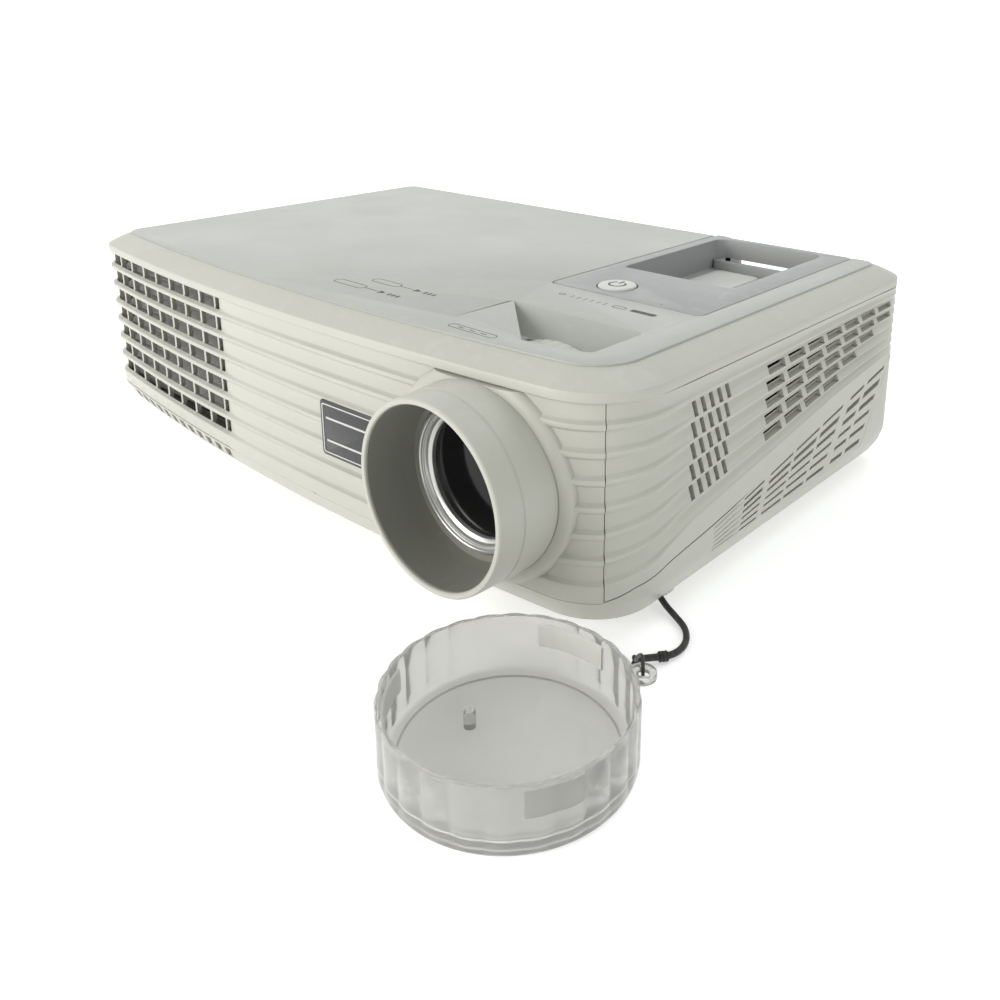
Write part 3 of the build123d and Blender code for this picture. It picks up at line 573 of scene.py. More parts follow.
def handled_surface() -> bpy.types.NodeTree:
    """Group: age on a handled surface, as faint dust, smears, specks and yellowing.

    Returns:
        The group, with Color and Roughness outputs.
    """
    inputs = [
        ("Vector", "NodeSocketVector", None),
        ("Color", "NodeSocketColor", (0.5, 0.5, 0.5, 1.0)),
        ("Aged Color", "NodeSocketColor", (0.45, 0.43, 0.38, 1.0)),
        ("Speck Color", "NodeSocketColor", (0.05, 0.045, 0.04, 1.0)),
        ("Ageing", "NodeSocketFloat", 0.35),
        ("Dust", "NodeSocketFloat", 0.25),
        ("Specks", "NodeSocketFloat", 0.5),
        ("Roughness", "NodeSocketFloat", 0.4),
    ]
    bench = make_group("handled_surface", inputs, [("Color", "NodeSocketColor"), ("Roughness", "NodeSocketFloat")])
    entry, leave = bench.node("NodeGroupInput"), bench.node("NodeGroupOutput")
    where = entry.outputs["Vector"]
    cloud = bench.ramp(bench.noise(where, 9.0, 5.0).outputs["Fac"], 0.38, 0.68)
    ageing = bench.maths("MULTIPLY", cloud, entry.outputs["Ageing"])
    tinted = bench.blend(ageing, entry.outputs["Color"], entry.outputs["Aged Color"])
    facing = bench.node("ShaderNodeNewGeometry")
    split = bench.node("ShaderNodeSeparateXYZ")
    bench.link(facing.outputs["Normal"], split.inputs[0])
    upward = bench.ramp(split.outputs["Z"], 0.35, 0.95)
    lint = bench.ramp(bench.noise(where, 210.0, 4.0, 0.7).outputs["Fac"], 0.5, 0.8)
    dust = bench.maths("MULTIPLY", bench.maths("MULTIPLY", upward, lint), entry.outputs["Dust"])
    dusty = bench.blend(dust, tinted, (0.62, 0.61, 0.58))
    cells = bench.node("ShaderNodeTexVoronoi")
    cells.inputs["Scale"].default_value = 62.0
    bench.link(where, cells.inputs["Vector"])
    dots = bench.ramp(cells.outputs["Distance"], 0.045, 0.028)
    rare = bench.ramp(bench.noise(where, 31.0, 1.0).outputs["Fac"], 0.6, 0.63)
    specks = bench.maths("MULTIPLY", bench.maths("MULTIPLY", dots, rare), entry.outputs["Specks"])
    bench.link(bench.blend(specks, dusty, entry.outputs["Speck Color"]), leave.inputs["Color"])
    smear = bench.ramp(bench.noise(where, 24.0, 6.0, 0.65).outputs["Fac"], 0.3, 0.75)
    rough = bench.maths("ADD", entry.outputs["Roughness"], bench.maths("MULTIPLY", smear, 0.12))
    bench.link(bench.maths("ADD", rough, bench.maths("MULTIPLY", dust, 0.3)), leave.inputs["Roughness"])
    return bench.tree


GROUPS: dict[str, bpy.types.NodeTree] = {}
MADE: dict[str, bpy.types.Material] = {}


def group(maker: Callable[[], bpy.types.NodeTree]) -> bpy.types.NodeTree:
    """Builds a shader group once and hands the same one out after that."""
    if maker.__name__ not in GROUPS:
        GROUPS[maker.__name__] = maker()
    return GROUPS[maker.__name__]


@dataclass(frozen=True)
class Moulded:
    """Satin moulded plastic or rubber: fine grain, slow colour drift, dust and specks."""

    name: str
    slot: str
    colour: Colour
    aged: Colour
    roughness: float = 0.36
    grain: float = 0.05
    grain_size: float = 1500.0
    ageing: float = 0.45
    dust: float = 0.25
    specks: float = 0.6
    specular: float = 0.45
    coat: float = 0.0
    metallic: float = 0.0
    through: float = 0.0
    ior: float = 1.46

    def material(self) -> bpy.types.Material:
        """Builds the material once.

        Returns:
            The material.
        """
        if self.name in MADE:
            return MADE[self.name]
        made = bpy.data.materials.new(self.name)
        made.use_nodes = True
        made.diffuse_color = (*self.colour, 1.0)
        bench = Bench(made.node_tree)
        shader = made.node_tree.nodes["Principled BSDF"]
        where = bench.node("ShaderNodeTexCoord").outputs["Object"]
        age = bench.node("ShaderNodeGroup", node_tree=group(handled_surface))
        age.inputs["Color"].default_value = (*self.colour, 1.0)
        age.inputs["Aged Color"].default_value = (*self.aged, 1.0)
        age.inputs["Ageing"].default_value = self.ageing
        age.inputs["Dust"].default_value = self.dust
        age.inputs["Specks"].default_value = self.specks
        age.inputs["Roughness"].default_value = self.roughness
        grain = bench.node("ShaderNodeGroup", node_tree=group(moulded_grain))
        grain.inputs["Grain Size"].default_value = self.grain_size
        bench.link(where, age.inputs["Vector"])
        bench.link(where, grain.inputs["Vector"])
        bump = bench.node("ShaderNodeBump")
        bump.inputs["Strength"].default_value = self.grain
        bump.inputs["Distance"].default_value = 0.0004
        bench.link(grain.outputs["Height"], bump.inputs["Height"])
        bench.link(age.outputs["Color"], shader.inputs["Base Color"])
        bench.link(age.outputs["Roughness"], shader.inputs["Roughness"])
        bench.link(bump.outputs["Normal"], shader.inputs["Normal"])
        shader.inputs["Specular IOR Level"].default_value = self.specular
        shader.inputs["Coat Weight"].default_value = self.coat
        shader.inputs["Coat Roughness"].default_value = 0.12
        shader.inputs["Metallic"].default_value = self.metallic
        shader.inputs["Transmission Weight"].default_value = self.through
        shader.inputs["IOR"].default_value = self.ior
        MADE[self.name] = made
        return made


@dataclass(frozen=True)
class Woven:
    """Braided black cord: twisted strands along the piece's own length."""

    name: str
    slot: str
    colour: Colour
    strands: float = 220.0

    def material(self) -> bpy.types.Material:
        """Builds the material once.

        Returns:
            The material.
        """
        if self.name in MADE:
            return MADE[self.name]
        made = bpy.data.materials.new(self.name)
        made.use_nodes = True
        bench = Bench(made.node_tree)
        shader = made.node_tree.nodes["Principled BSDF"]
        where = bench.node("ShaderNodeTexCoord").outputs["Object"]
        strands = bench.node("ShaderNodeTexWave", wave_type="BANDS", bands_direction="DIAGONAL")
        strands.inputs["Scale"].default_value = self.strands
        strands.inputs["Distortion"].default_value = 2.0
        bench.link(where, strands.inputs["Vector"])
        fuzz = bench.noise(where, 2600.0, 3.0)
        height = bench.maths("ADD", strands.outputs["Fac"], fuzz.outputs["Fac"])
        bump = bench.node("ShaderNodeBump")
        bump.inputs["Strength"].default_value = 0.5
        bump.inputs["Distance"].default_value = 0.00015
        bench.link(height, bump.inputs["Height"])
        bench.link(bump.outputs["Normal"], shader.inputs["Normal"])
        light = tuple(value * 2.2 + 0.004 for value in self.colour)
        bench.link(bench.blend(strands.outputs["Fac"], self.colour, light), shader.inputs["Base Color"])
        bench.link(bench.ramp(fuzz.outputs["Fac"], -0.6, 1.4), shader.inputs["Roughness"])
        shader.inputs["Sheen Weight"].default_value = 0.12
        MADE[self.name] = made
        return made


Finish = Moulded | Woven

CASE = Moulded("case_plastic", "case_white", (0.465, 0.458, 0.41), (0.42, 0.42, 0.37), 0.34, 0.05)
# Top plastic: the case plastic made darker as painted shade, for the top lying out of the front window light.
TOP_PAINTED_SHADE = Moulded("top_plastic_painted_shade", "case_white", (0.385, 0.395, 0.365), (0.35, 0.365, 0.335), 0.30, 0.04, dust=0.18)
# Hood inside: the case plastic darkened as painted shade for the hollow of the hood.
HOOD_INSIDE_PAINTED_SHADE = Moulded("hood_inside_painted_shade", "case_white", (0.19, 0.19, 0.16), (0.16, 0.16, 0.135), 0.5, 0.08, dust=0.05)
INSERT = Moulded("insert_plastic", "insert_grey", (0.31, 0.315, 0.315), (0.28, 0.285, 0.28), 0.36, 0.08, 1100.0)
KEY = Moulded("key_plastic", "key_light", (0.56, 0.56, 0.53), (0.50, 0.50, 0.46), 0.3, 0.03)
BADGE = Moulded("badge_enamel", "badge_dark", (0.025, 0.025, 0.028), (0.03, 0.03, 0.03), 0.22, 0.01, specks=0.0, coat=0.3)
BADGE_LINE = Moulded("badge_line", "badge_dark", (0.55, 0.55, 0.54), (0.5, 0.5, 0.5), 0.3, 0.01, specks=0.0)
PRINT = Moulded("printed_marks", "badge_dark", (0.05, 0.05, 0.048), (0.07, 0.07, 0.068), 0.5, 0.02, specks=0.0)
SILVER = Moulded("ring_metal", "ring_silver", (0.62, 0.62, 0.60), (0.55, 0.55, 0.53), 0.24, 0.02, 2600.0, metallic=0.75, dust=0.08)
BLACK = Moulded("barrel_plastic", "barrel_black", (0.012, 0.012, 0.012), (0.016, 0.016, 0.016), 0.5, 0.05, specks=0.0)
RING = Moulded("focus_ring_plastic", "ring_white", (0.56, 0.56, 0.51), (0.5, 0.5, 0.44), 0.4, 0.05)
GLASS = Moulded("lens_coating", "lens_glass", (0.0012, 0.0012, 0.0016), (0.002, 0.002, 0.003), 0.04, 0.0, specks=0.0, dust=0.0, specular=0.3)
CAST = Moulded("cast_alloy", "cast_metal", (0.34, 0.34, 0.34), (0.28, 0.28, 0.28), 0.5, 0.25, 700.0, metallic=0.8)
SINK = Moulded("heatsink_alloy", "heatsink", (0.5, 0.5, 0.5), (0.42, 0.42, 0.42), 0.4, 0.1, metallic=0.9)
BOARD = Moulded("board_laminate", "pcb_green", (0.018, 0.11, 0.045), (0.012, 0.075, 0.035), 0.4, 0.08)
FAN = Moulded("fan_plastic", "fan_black", (0.014, 0.014, 0.015), (0.02, 0.02, 0.02), 0.45, 0.06, dust=0.6)
STEEL = Moulded("pressed_steel", "sheet_steel", (0.45, 0.45, 0.45), (0.36, 0.36, 0.35), 0.35, 0.06, metallic=0.95)
QUARTZ = Moulded("quartz_glass", "quartz", (0.85, 0.86, 0.87), (0.8, 0.82, 0.84), 0.08, 0.02, specks=0.0, through=0.85)
LOUVRE = Moulded("louvre_plastic", "louvre_grey", (0.24, 0.235, 0.225), (0.19, 0.19, 0.18), 0.5, 0.06, dust=0.5)
FILTER = Moulded("filter_mesh", "louvre_grey", (0.12, 0.12, 0.11), (0.16, 0.155, 0.14), 0.7, 0.1, dust=0.8)
PANEL = Moulded("panel_plastic", "panel_grey", (0.36, 0.36, 0.345), (0.32, 0.32, 0.30), 0.42, 0.12, 900.0)
SOCKET = Moulded("socket_plastic", "connector_dark", (0.02, 0.02, 0.022), (0.028, 0.028, 0.03), 0.45, 0.08)
BRASS = Moulded("brass", "brass", (0.62, 0.44, 0.18), (0.42, 0.30, 0.13), 0.3, 0.04, metallic=1.0)
RUBBER = Moulded("foot_rubber", "rubber_black", (0.03, 0.03, 0.03), (0.045, 0.043, 0.04), 0.75, 0.3, 600.0, dust=0.5)
CLEAR = Moulded("cap_clear_plastic", "cap_clear", (0.78, 0.775, 0.755), (0.74, 0.735, 0.71), 0.07, 0.0, ageing=0.8, specks=0.25, dust=0.25, through=0.82, ior=1.38)
FROST = Moulded("cap_frosted_plastic", "cap_frosted", (0.82, 0.82, 0.78), (0.76, 0.76, 0.70), 0.42, 0.15, specks=0.0, through=0.35, ior=1.4)
IR = Moulded("infrared_window", "ir_dark", (0.03, 0.006, 0.008), (0.035, 0.008, 0.01), 0.15, 0.01, specks=0.0, coat=0.4)
CORD = Woven("tether_braid", "cord_black", (0.006, 0.006, 0.006))


def dress(piece: bpy.types.Object, finish: Finish, body: str, *nodes: str) -> bpy.types.Object:
    """Gives a finished piece its material, the body it moves with and the nodes it stands for.

    Args:
        piece: The piece.
        finish: Its finish.
        body: CAD body that it rides on.
        *nodes: CAD nodes that it stands for.

    Returns:
        The same piece.
    """
    piece.data.materials.clear()
    piece.data.materials.append(finish.material())
    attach(piece, body)
    if nodes:
        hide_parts(*nodes)
    LOG.info("%s: %d faces", piece.name, len(getattr(piece.data, "polygons", ())))
    return piece


# ---- repeating pieces ---------------------------------------------------------------
class RepeatTree:
    """Geometry Nodes tree that sets a filleted bar at every corner of a carrier mesh."""

    def __init__(self, name: str) -> None:
        """Builds the tree with named inputs for the bar's sizes."""
        tree = bpy.data.node_groups.new(name, "GeometryNodeTree")
        tree.interface.new_socket("Geometry", in_out="INPUT", socket_type="NodeSocketGeometry")
        self.sockets: dict[str, str] = {}
        for label, kind in (
            ("Width", "NodeSocketFloat"),
            ("Height", "NodeSocketFloat"),
            ("Length", "NodeSocketFloat"),
            ("Fillet", "NodeSocketFloat"),
            ("Tilt", "NodeSocketVector"),
            ("Finish", "NodeSocketMaterial"),
        ):
            made = tree.interface.new_socket(label, in_out="INPUT", socket_type=kind)
            self.sockets[label] = made.identifier
        tree.interface.new_socket("Geometry", in_out="OUTPUT", socket_type="NodeSocketGeometry")
        bench = Bench(tree)
        entry, leave = bench.node("NodeGroupInput"), bench.node("NodeGroupOutput")
        section = bench.node("GeometryNodeCurvePrimitiveQuadrilateral")
        bench.link(entry.outputs["Width"], section.inputs["Width"])
        bench.link(entry.outputs["Height"], section.inputs["Height"])
        fillet = bench.node("GeometryNodeFilletCurve")
        fillet.mode = "POLY"
        fillet.inputs["Count"].default_value = 3
        fillet.inputs["Limit Radius"].default_value = True
        bench.link(section.outputs["Curve"], fillet.inputs["Curve"])
        bench.link(entry.outputs["Fillet"], fillet.inputs["Radius"])
        half = bench.maths("MULTIPLY", entry.outputs["Length"], 0.5)
        back = bench.maths("MULTIPLY", entry.outputs["Length"], -0.5)
        ends = [bench.node("ShaderNodeCombineXYZ") for _ in range(2)]
        bench.link(back, ends[0].inputs["X"])
        bench.link(half, ends[1].inputs["X"])
        run = bench.node("GeometryNodeCurvePrimitiveLine")
        bench.link(ends[0].outputs[0], run.inputs["Start"])
        bench.link(ends[1].outputs[0], run.inputs["End"])
        bar = bench.node("GeometryNodeCurveToMesh")
        bar.inputs["Fill Caps"].default_value = True
        bench.link(run.outputs["Curve"], bar.inputs["Curve"])
        bench.link(fillet.outputs["Curve"], bar.inputs["Profile Curve"])
        spread = bench.node("GeometryNodeInstanceOnPoints")
        bench.link(entry.outputs["Geometry"], spread.inputs["Points"])
        bench.link(bar.outputs["Mesh"], spread.inputs["Instance"])
        bench.link(entry.outputs["Tilt"], spread.inputs["Rotation"])
        solid = bench.node("GeometryNodeRealizeInstances")
        bench.link(spread.outputs["Instances"], solid.inputs["Geometry"])
        coat = bench.node("GeometryNodeSetMaterial")
        bench.link(solid.outputs["Geometry"], coat.inputs["Geometry"])
        bench.link(entry.outputs["Finish"], coat.inputs["Material"])
        bench.link(coat.outputs["Geometry"], leave.inputs["Geometry"])
        self.tree = tree

    def lay(
        self, name: str, spots: Iterable[Point], size: Point, fillet: float, tilt: Point, finish: Moulded
    ) -> bpy.types.Object:
        """Sets one bar at each spot and turns the result into plain mesh.

        Args:
            name: Piece name.
            spots: Middles of the bars, in case millimetres.
            size: Length along X, width and height, in millimetres.
            fillet: Corner radius of the section, in millimetres.
            tilt: Turn of every bar, in degrees.
            finish: Finish set on the bars.

        Returns:
            The piece.
        """
        carrier = Draft(points=list(spots)).build(name, closed=False)
        nodes = carrier.modifiers.new("repeat", "NODES")
        nodes.node_group = self.tree
        nodes[self.sockets["Length"]] = size[0] * MM
        nodes[self.sockets["Width"]] = size[1] * MM
        nodes[self.sockets["Height"]] = size[2] * MM
        nodes[self.sockets["Fillet"]] = fillet * MM
        nodes[self.sockets["Tilt"]] = tuple(math.radians(value) for value in tilt)
        nodes[self.sockets["Finish"]] = finish.material()
        return settle(carrier)


BARS = RepeatTree("rows_of_bars")


# ---- studio, tether and cap ---------------------------------------------------------
@dataclass
class Studio:
    """Pale floor, soft lights and the camera."""

    camera_spot: Point = (296.7, -274.5, 173.1)
    turn: float = 41.72
    dip: float = 15.88
    lens: float = 35.32
    shift: Spot = (-0.06, -0.2)

    def camera(self) -> None:
        """Sets up the camera."""
        data = bpy.data.cameras.new("studio_camera")
        data.lens = self.lens
        data.sensor_width = 36.0
        data.shift_x, data.shift_y = self.shift
        data.clip_start = 0.01
        camera = bpy.data.objects.new("studio_camera", data)
        camera.location = place(*self.camera_spot)
        camera.rotation_euler = (math.radians(90 - self.dip), 0.0, math.radians(self.turn))
        bpy.context.scene.collection.objects.link(camera)
        bpy.context.scene.camera = camera

    def light(self, name: str, spot: Point, power: float, size: float, tint: Colour = (1.0, 1.0, 1.0)) -> None:
        """Hangs one square soft light that faces the case.

        Args:
            name: Light name.
            spot: Where it hangs, in metres.
            power: Watts.
            size: Side in metres.
            tint: Light colour.
        """
        data = bpy.data.lights.new(name, "AREA")
        data.energy = power
        data.size = size
        data.color = tint
        lamp = bpy.data.objects.new(name, data)
        lamp.location = spot
        lamp.rotation_euler = (Vector((0.0, 0.0, 0.04)) - Vector(spot)).to_track_quat("-Z", "Y").to_euler()
        bpy.context.scene.collection.objects.link(lamp)

    def build(self) -> None:
        """Lays the floor with its sweep and hangs the lights."""
        sweep = Draft()
        profile = [(-4000.0, -0.3), (1500.0, -0.3)]
        profile += [(1500 + 900 * math.sin(a), 900 - 900 * math.cos(a)) for a in (math.pi / 2 * i / 12 for i in range(1, 13))]
        profile += [(2400.0, 5000.0)]
        loops = [[(x, y, z) for y, z in profile] for x in (-5000.0, 5000.0)]
        sweep.rings(loops, caps=False, joined=False)
        floor = sweep.build("floor_sweep", closed=False)
        turn = Matrix.Rotation(math.radians(self.turn), 4, "Z")
        floor.data.transform(turn)
        floor.data.flip_normals()
        settle(floor)
        finish = Moulded("floor_paper", "", (0.86, 0.86, 0.86), (0.84, 0.84, 0.84), 0.7, 0.02, specks=0.0, dust=0.0, specular=0.1)
        floor.data.materials.append(finish.material())
        shader = floor.data.materials[0].node_tree.nodes["Principled BSDF"]
        shader.inputs["Emission Color"].default_value = (1.0, 1.0, 1.0, 1.0)
        shader.inputs["Emission Strength"].default_value = 0.42
        self.light("window_light", (-0.75, -1.9, 0.75), 42.0, 1.5, (1.0, 0.985, 0.965))
        self.light("side_light", (2.0, -0.5, 0.7), 9.0, 1.2, (0.97, 1.0, 0.97))
        self.light("ceiling_light", (0.3, 0.9, 2.0), 16.0, 1.8, (0.97, 1.0, 0.99))
        world = bpy.data.worlds.new("studio_air")
        world.use_nodes = True
        world.node_tree.nodes["Background"].inputs[0].default_value = (0.93, 0.96, 0.95, 1.0)
        world.node_tree.nodes["Background"].inputs[1].default_value = 0.42
        bpy.context.scene.world = world
        bpy.context.scene.view_settings.view_transform = "Standard"


@dataclass
class Tether:
    """Black cord from the case to the cap: cord, crimp sleeve, knot and thin loop."""

    cord_route: tuple[Point, ...] = (
        (141.0, -55.0, 3.7), (145.5, -57.6, 2.4), (151.5, -59.6, 1.4), (157.6, -62.6, 1.1),
        (161.6, -68.6, 1.05), (161.9, -75.4, 1.3), (158.6, -80.6, 1.8), (156.0, -84.2, 2.0),
    )
    loop_route: tuple[Point, ...] = (
        (156.4, -85.6, 2.6), (160.6, -91.4, 7.6), (164.6, -95.4, 13.4), (168.2, -98.6, 17.0), (170.6, -101.5, 15.6),
        (170.6, -101.5, 12.0), (166.6, -97.6, 8.4), (161.9, -92.8, 4.6), (157.9, -87.0, 1.9),
    )
    cord_width: float = 2.0
    loop_width: float = 1.0
    cord_length: float = 42.7
    loop_length: float = 51.3
    knot_spot: Point = (156.6, -85.2, 2.1)

    def line(self, name: str, route: Sequence[Point], width: float) -> bpy.types.Object:
        """Draws one smooth cord through its route.

        Args:
            name: Piece name.
            route: Control points.
            width: Cord diameter.

        Returns:
            The curve.
        """
        curve = bpy.data.curves.new(name, "CURVE")
        curve.dimensions = "3D"
        spline = curve.splines.new("NURBS")
        spline.points.add(len(route) - 1)
        for point, spot in zip(spline.points, route):
            point.co = (*place(*spot), 1.0)
        spline.order_u = 3
        spline.use_endpoint_u = True
        spline.resolution_u = 16
        curve.bevel_depth = width / 2 * MM
        curve.bevel_resolution = 5
        curve.use_fill_caps = True
        piece = bpy.data.objects.new(name, curve)
        bpy.context.scene.collection.objects.link(piece)
        return piece

    def sleeve(self) -> bpy.types.Object:
        """Crimped sleeve, with two pinched rings."""
        a, b = (Vector(self.cord_route[i]) for i in (5, 6))
        middle, along = (a + b) / 2, (b - a).normalized()
        side = along.cross(Vector((0, 0, 1))).normalized()
        up = side.cross(along)
        profile = [(-1.35, 1.05), (-1.3, 1.45), (-0.9, 1.6), (-0.5, 1.35), (-0.2, 1.55), (0.2, 1.55), (0.5, 1.35), (0.9, 1.6), (1.3, 1.45), (1.35, 1.05)]
        draft = Draft()
        rings = []
        for run, size in profile:
            turns = (2 * math.pi * i / 20 for i in range(20))
            rings.append([tuple(middle + along * run + (side * math.cos(t) + up * math.sin(t)) * size) for t in turns])
        return settle(draft.rings(rings).build("tether_crimp"))

    def knot(self) -> bpy.types.Object:
        """Small overhand knot: a cord wound as a trefoil."""
        x, y, z = self.knot_spot
        draft = Draft()
        rings = []
        steps, around = 72, 10
        spots = []
        for i in range(steps):
            t = 2 * math.pi * i / steps
            px = math.sin(t) + 2 * math.sin(2 * t)
            py = math.cos(t) - 2 * math.cos(2 * t)
            spots.append(Vector((x + px * 0.42, y + py * 0.42, z + 0.2 - math.sin(3 * t) * 0.55)))
        for i, here in enumerate(spots):
            along = (spots[(i + 1) % steps] - spots[i - 1]).normalized()
            side = along.cross(Vector((0, 0, 1))).normalized()
            up = side.cross(along)
            turns = (2 * math.pi * k / around for k in range(around))
            rings.append([tuple(here + (side * math.cos(t) + up * math.sin(t)) * 0.72) for t in turns])
        return settle(draft.rings([*rings, rings[0]], caps=False).build("tether_tie"))

    def build(self, eyelet: bpy.types.Object) -> None:
        """Makes and dresses both cords.

        Args:
            eyelet: The cap's eyelet, which the loop goes through; not used.
        """
        cord = self.line("tether_cord", self.cord_route, self.cord_width)
        loop = self.line("tether_thin_loop", self.loop_route, self.loop_width)
        sleeve, knot = self.sleeve(), self.knot()
        dress(cord, CORD, "projector", "tether")
        dress(loop, CORD, "projector", "tether_loop")
        dress(sleeve, CORD, "projector", "tether_sleeve")
        dress(knot, CORD, "projector", "tether_knot")
        tuple(place(*self.cord_route[0]))
        tuple(place(*self.loop_route[0]))


@dataclass
class LensCap:
    """Clear fluted cap lying open side up, with three frosted pads, a peg and an eyelet."""

    x: float = 153.0
    y: float = -132.0
    radius: float = 32.2
    bore: float = 30.5
    height: float = 18.0
    floor: float = 2.0
    flutes: int = 26
    eyelet_turn: float = 60.0
    eyelet_reach: float = 35.2

    def flute(self, angle: float, reach: float) -> float:
        """Depth of the flats round the wall, fading out at the floor."""
        wave = abs(math.sin(angle * self.flutes / 2))
        return -0.5 * (1 - wave) * ease(0.8, 2.5, reach)

    def cup(self) -> bpy.types.Object:
        """Turned cup with a fluted outside, a rounded rim and a fine step in the floor."""
        outer = [(self.radius - 1.2, 0.0), (self.radius - 0.35, 0.35), (self.radius, 1.4), (self.radius, 4.0)]
        outer += [(self.radius, 12.0), (self.radius, self.height - 0.7), (self.radius - 0.2, self.height - 0.2)]
        rim = [(self.radius - 0.55, self.height), (self.bore + 0.5, self.height)]
        inner = [(self.bore + 0.1, self.height - 0.25), (self.bore, self.height - 0.8), (self.bore, self.floor + 2.0)]
        inner += [(self.bore - 0.5, self.floor + 0.8), (self.bore - 1.6, self.floor + 0.15), (self.bore - 2.5, self.floor)]
        inner += [(19.0, self.floor), (18.8, self.floor + 0.15), (0.0, self.floor + 0.15), (0.0, 0.25), (self.radius - 4, 0.25), (self.radius - 4.6, 0.0)]
        draft = Draft().turned(
            [*outer, *rim, *inner], (self.x, self.y), Axis.UPRIGHT, self.flutes * 12,
            lambda angle, reach: self.flute(angle, reach),
        )
        for i, (x, y, z) in enumerate(draft.points):
            out = math.hypot(x - self.x, y - self.y)
            if self.bore - 8 < out < self.bore + 0.2 and out > 0:
                share = (out - self.flute(math.atan2(y - self.y, x - self.x), z)) / out
                draft.points[i] = (self.x + (x - self.x) * share, self.y + (y - self.y) * share, z)
        cup = draft.build("cap_cup")
        peg = Draft().turned([(0.0, 1.2), (1.6, 1.2), (1.6, 6.4), (1.2, 7.0), (0.0, 7.0)], (self.x - 12, self.y - 2), Axis.UPRIGHT, 32)
        return settle(carve(cup, peg.build("cap_peg"), "UNION"), 28)

    def eyelet(self) -> bpy.types.Object:
        """Small tab outside the wall with a round hole."""
        turn = math.radians(self.eyelet_turn)
        cx = self.x + self.eyelet_reach * math.cos(turn)
        cy = self.y + self.eyelet_reach * math.sin(turn)
        outer = []
        for i in range(40):
            t = 2 * math.pi * i / 40
            out, side = 3.6 * math.cos(t), 3.6 * math.sin(t)
            if out < 0:
                out, side = out * 0.95, 3.6 * math.copysign(min(1.0, abs(math.sin(t)) * 1.05), side)
            outer.append((cx + out * math.cos(turn) - side * math.sin(turn), cy + out * math.sin(turn) + side * math.cos(turn)))
        inner = [(cx + 1.9 * math.cos(2 * math.pi * i / 40 + turn), cy + 1.9 * math.sin(2 * math.pi * i / 40 + turn)) for i in range(40)]
        draft = Draft()
        frame_prism(draft, outer, inner, 13.0, 15.0)
        return soften(draft.build("cap_eyelet"), 0.3, 2, 50)

    def pads(self) -> bpy.types.Object:
        """Frosted grip pads round the inside."""
        draft = Draft()
        for middle in (100, 220, 340):
            rings = []
            for step in range(13):
                turn = math.radians(middle - 19 + 38 * step / 12)
                profile = [(self.bore - 0.02, 9.0), (self.bore - 0.6, 9.4), (self.bore - 0.6, self.height - 2.4), (self.bore - 0.02, self.height - 2.0)]
                rings.append([(self.x + r * math.cos(turn), self.y + r * math.sin(turn), z) for r, z in profile])
            draft.rings(rings)
        return settle(draft.build("cap_grip_pads"))

    def build(self) -> bpy.types.Object:
        """Makes and dresses the cap.

        Returns:
            The eyelet.
        """
        dress(self.cup(), CLEAR, "projector", "lens_cap")
        dress(self.pads(), FROST, "projector", "cap_pads")
        return dress(self.eyelet(), CLEAR, "projector")


# ---- casing -------------------------------------------------------------------------
def skin(
    name: str, columns: Sequence[float], rows: Sequence[float], spot: Callable[[float, float], Point],
    keep: Callable[[float, float], bool],
) -> bpy.types.Object:
    """Makes an outward-facing sheet over a grid, with some of its cells left open.

    Args:
        name: Piece name.
        columns: Grid lines counter-clockwise round the case.
        rows: Grid lines, lowest first.
        spot: Place of a grid point, from its column and row.
        keep: Whether the cell with this middle is filled.

    Returns:
        The sheet.
    """
    draft = Draft(points=[spot(c, r) for r in rows for c in columns])
    wide = len(columns)
    for j in range(len(rows) - 1):
        for i in range(wide - 1):
            if keep((columns[i] + columns[i + 1]) / 2, (rows[j] + rows[j + 1]) / 2):
                here = j * wide + i
                draft.faces.append((here, here + 1, here + wide + 1, here + wide))
    return draft.build(name, closed=False)


def tidy_lines(lines: Iterable[float], gap: float) -> list[float]:
    """Sorts grid lines and drops those closer together than gap."""
    kept: list[float] = []
    for line in sorted(lines):
        if not kept or line - kept[-1] > gap:
            kept.append(line)
    return kept


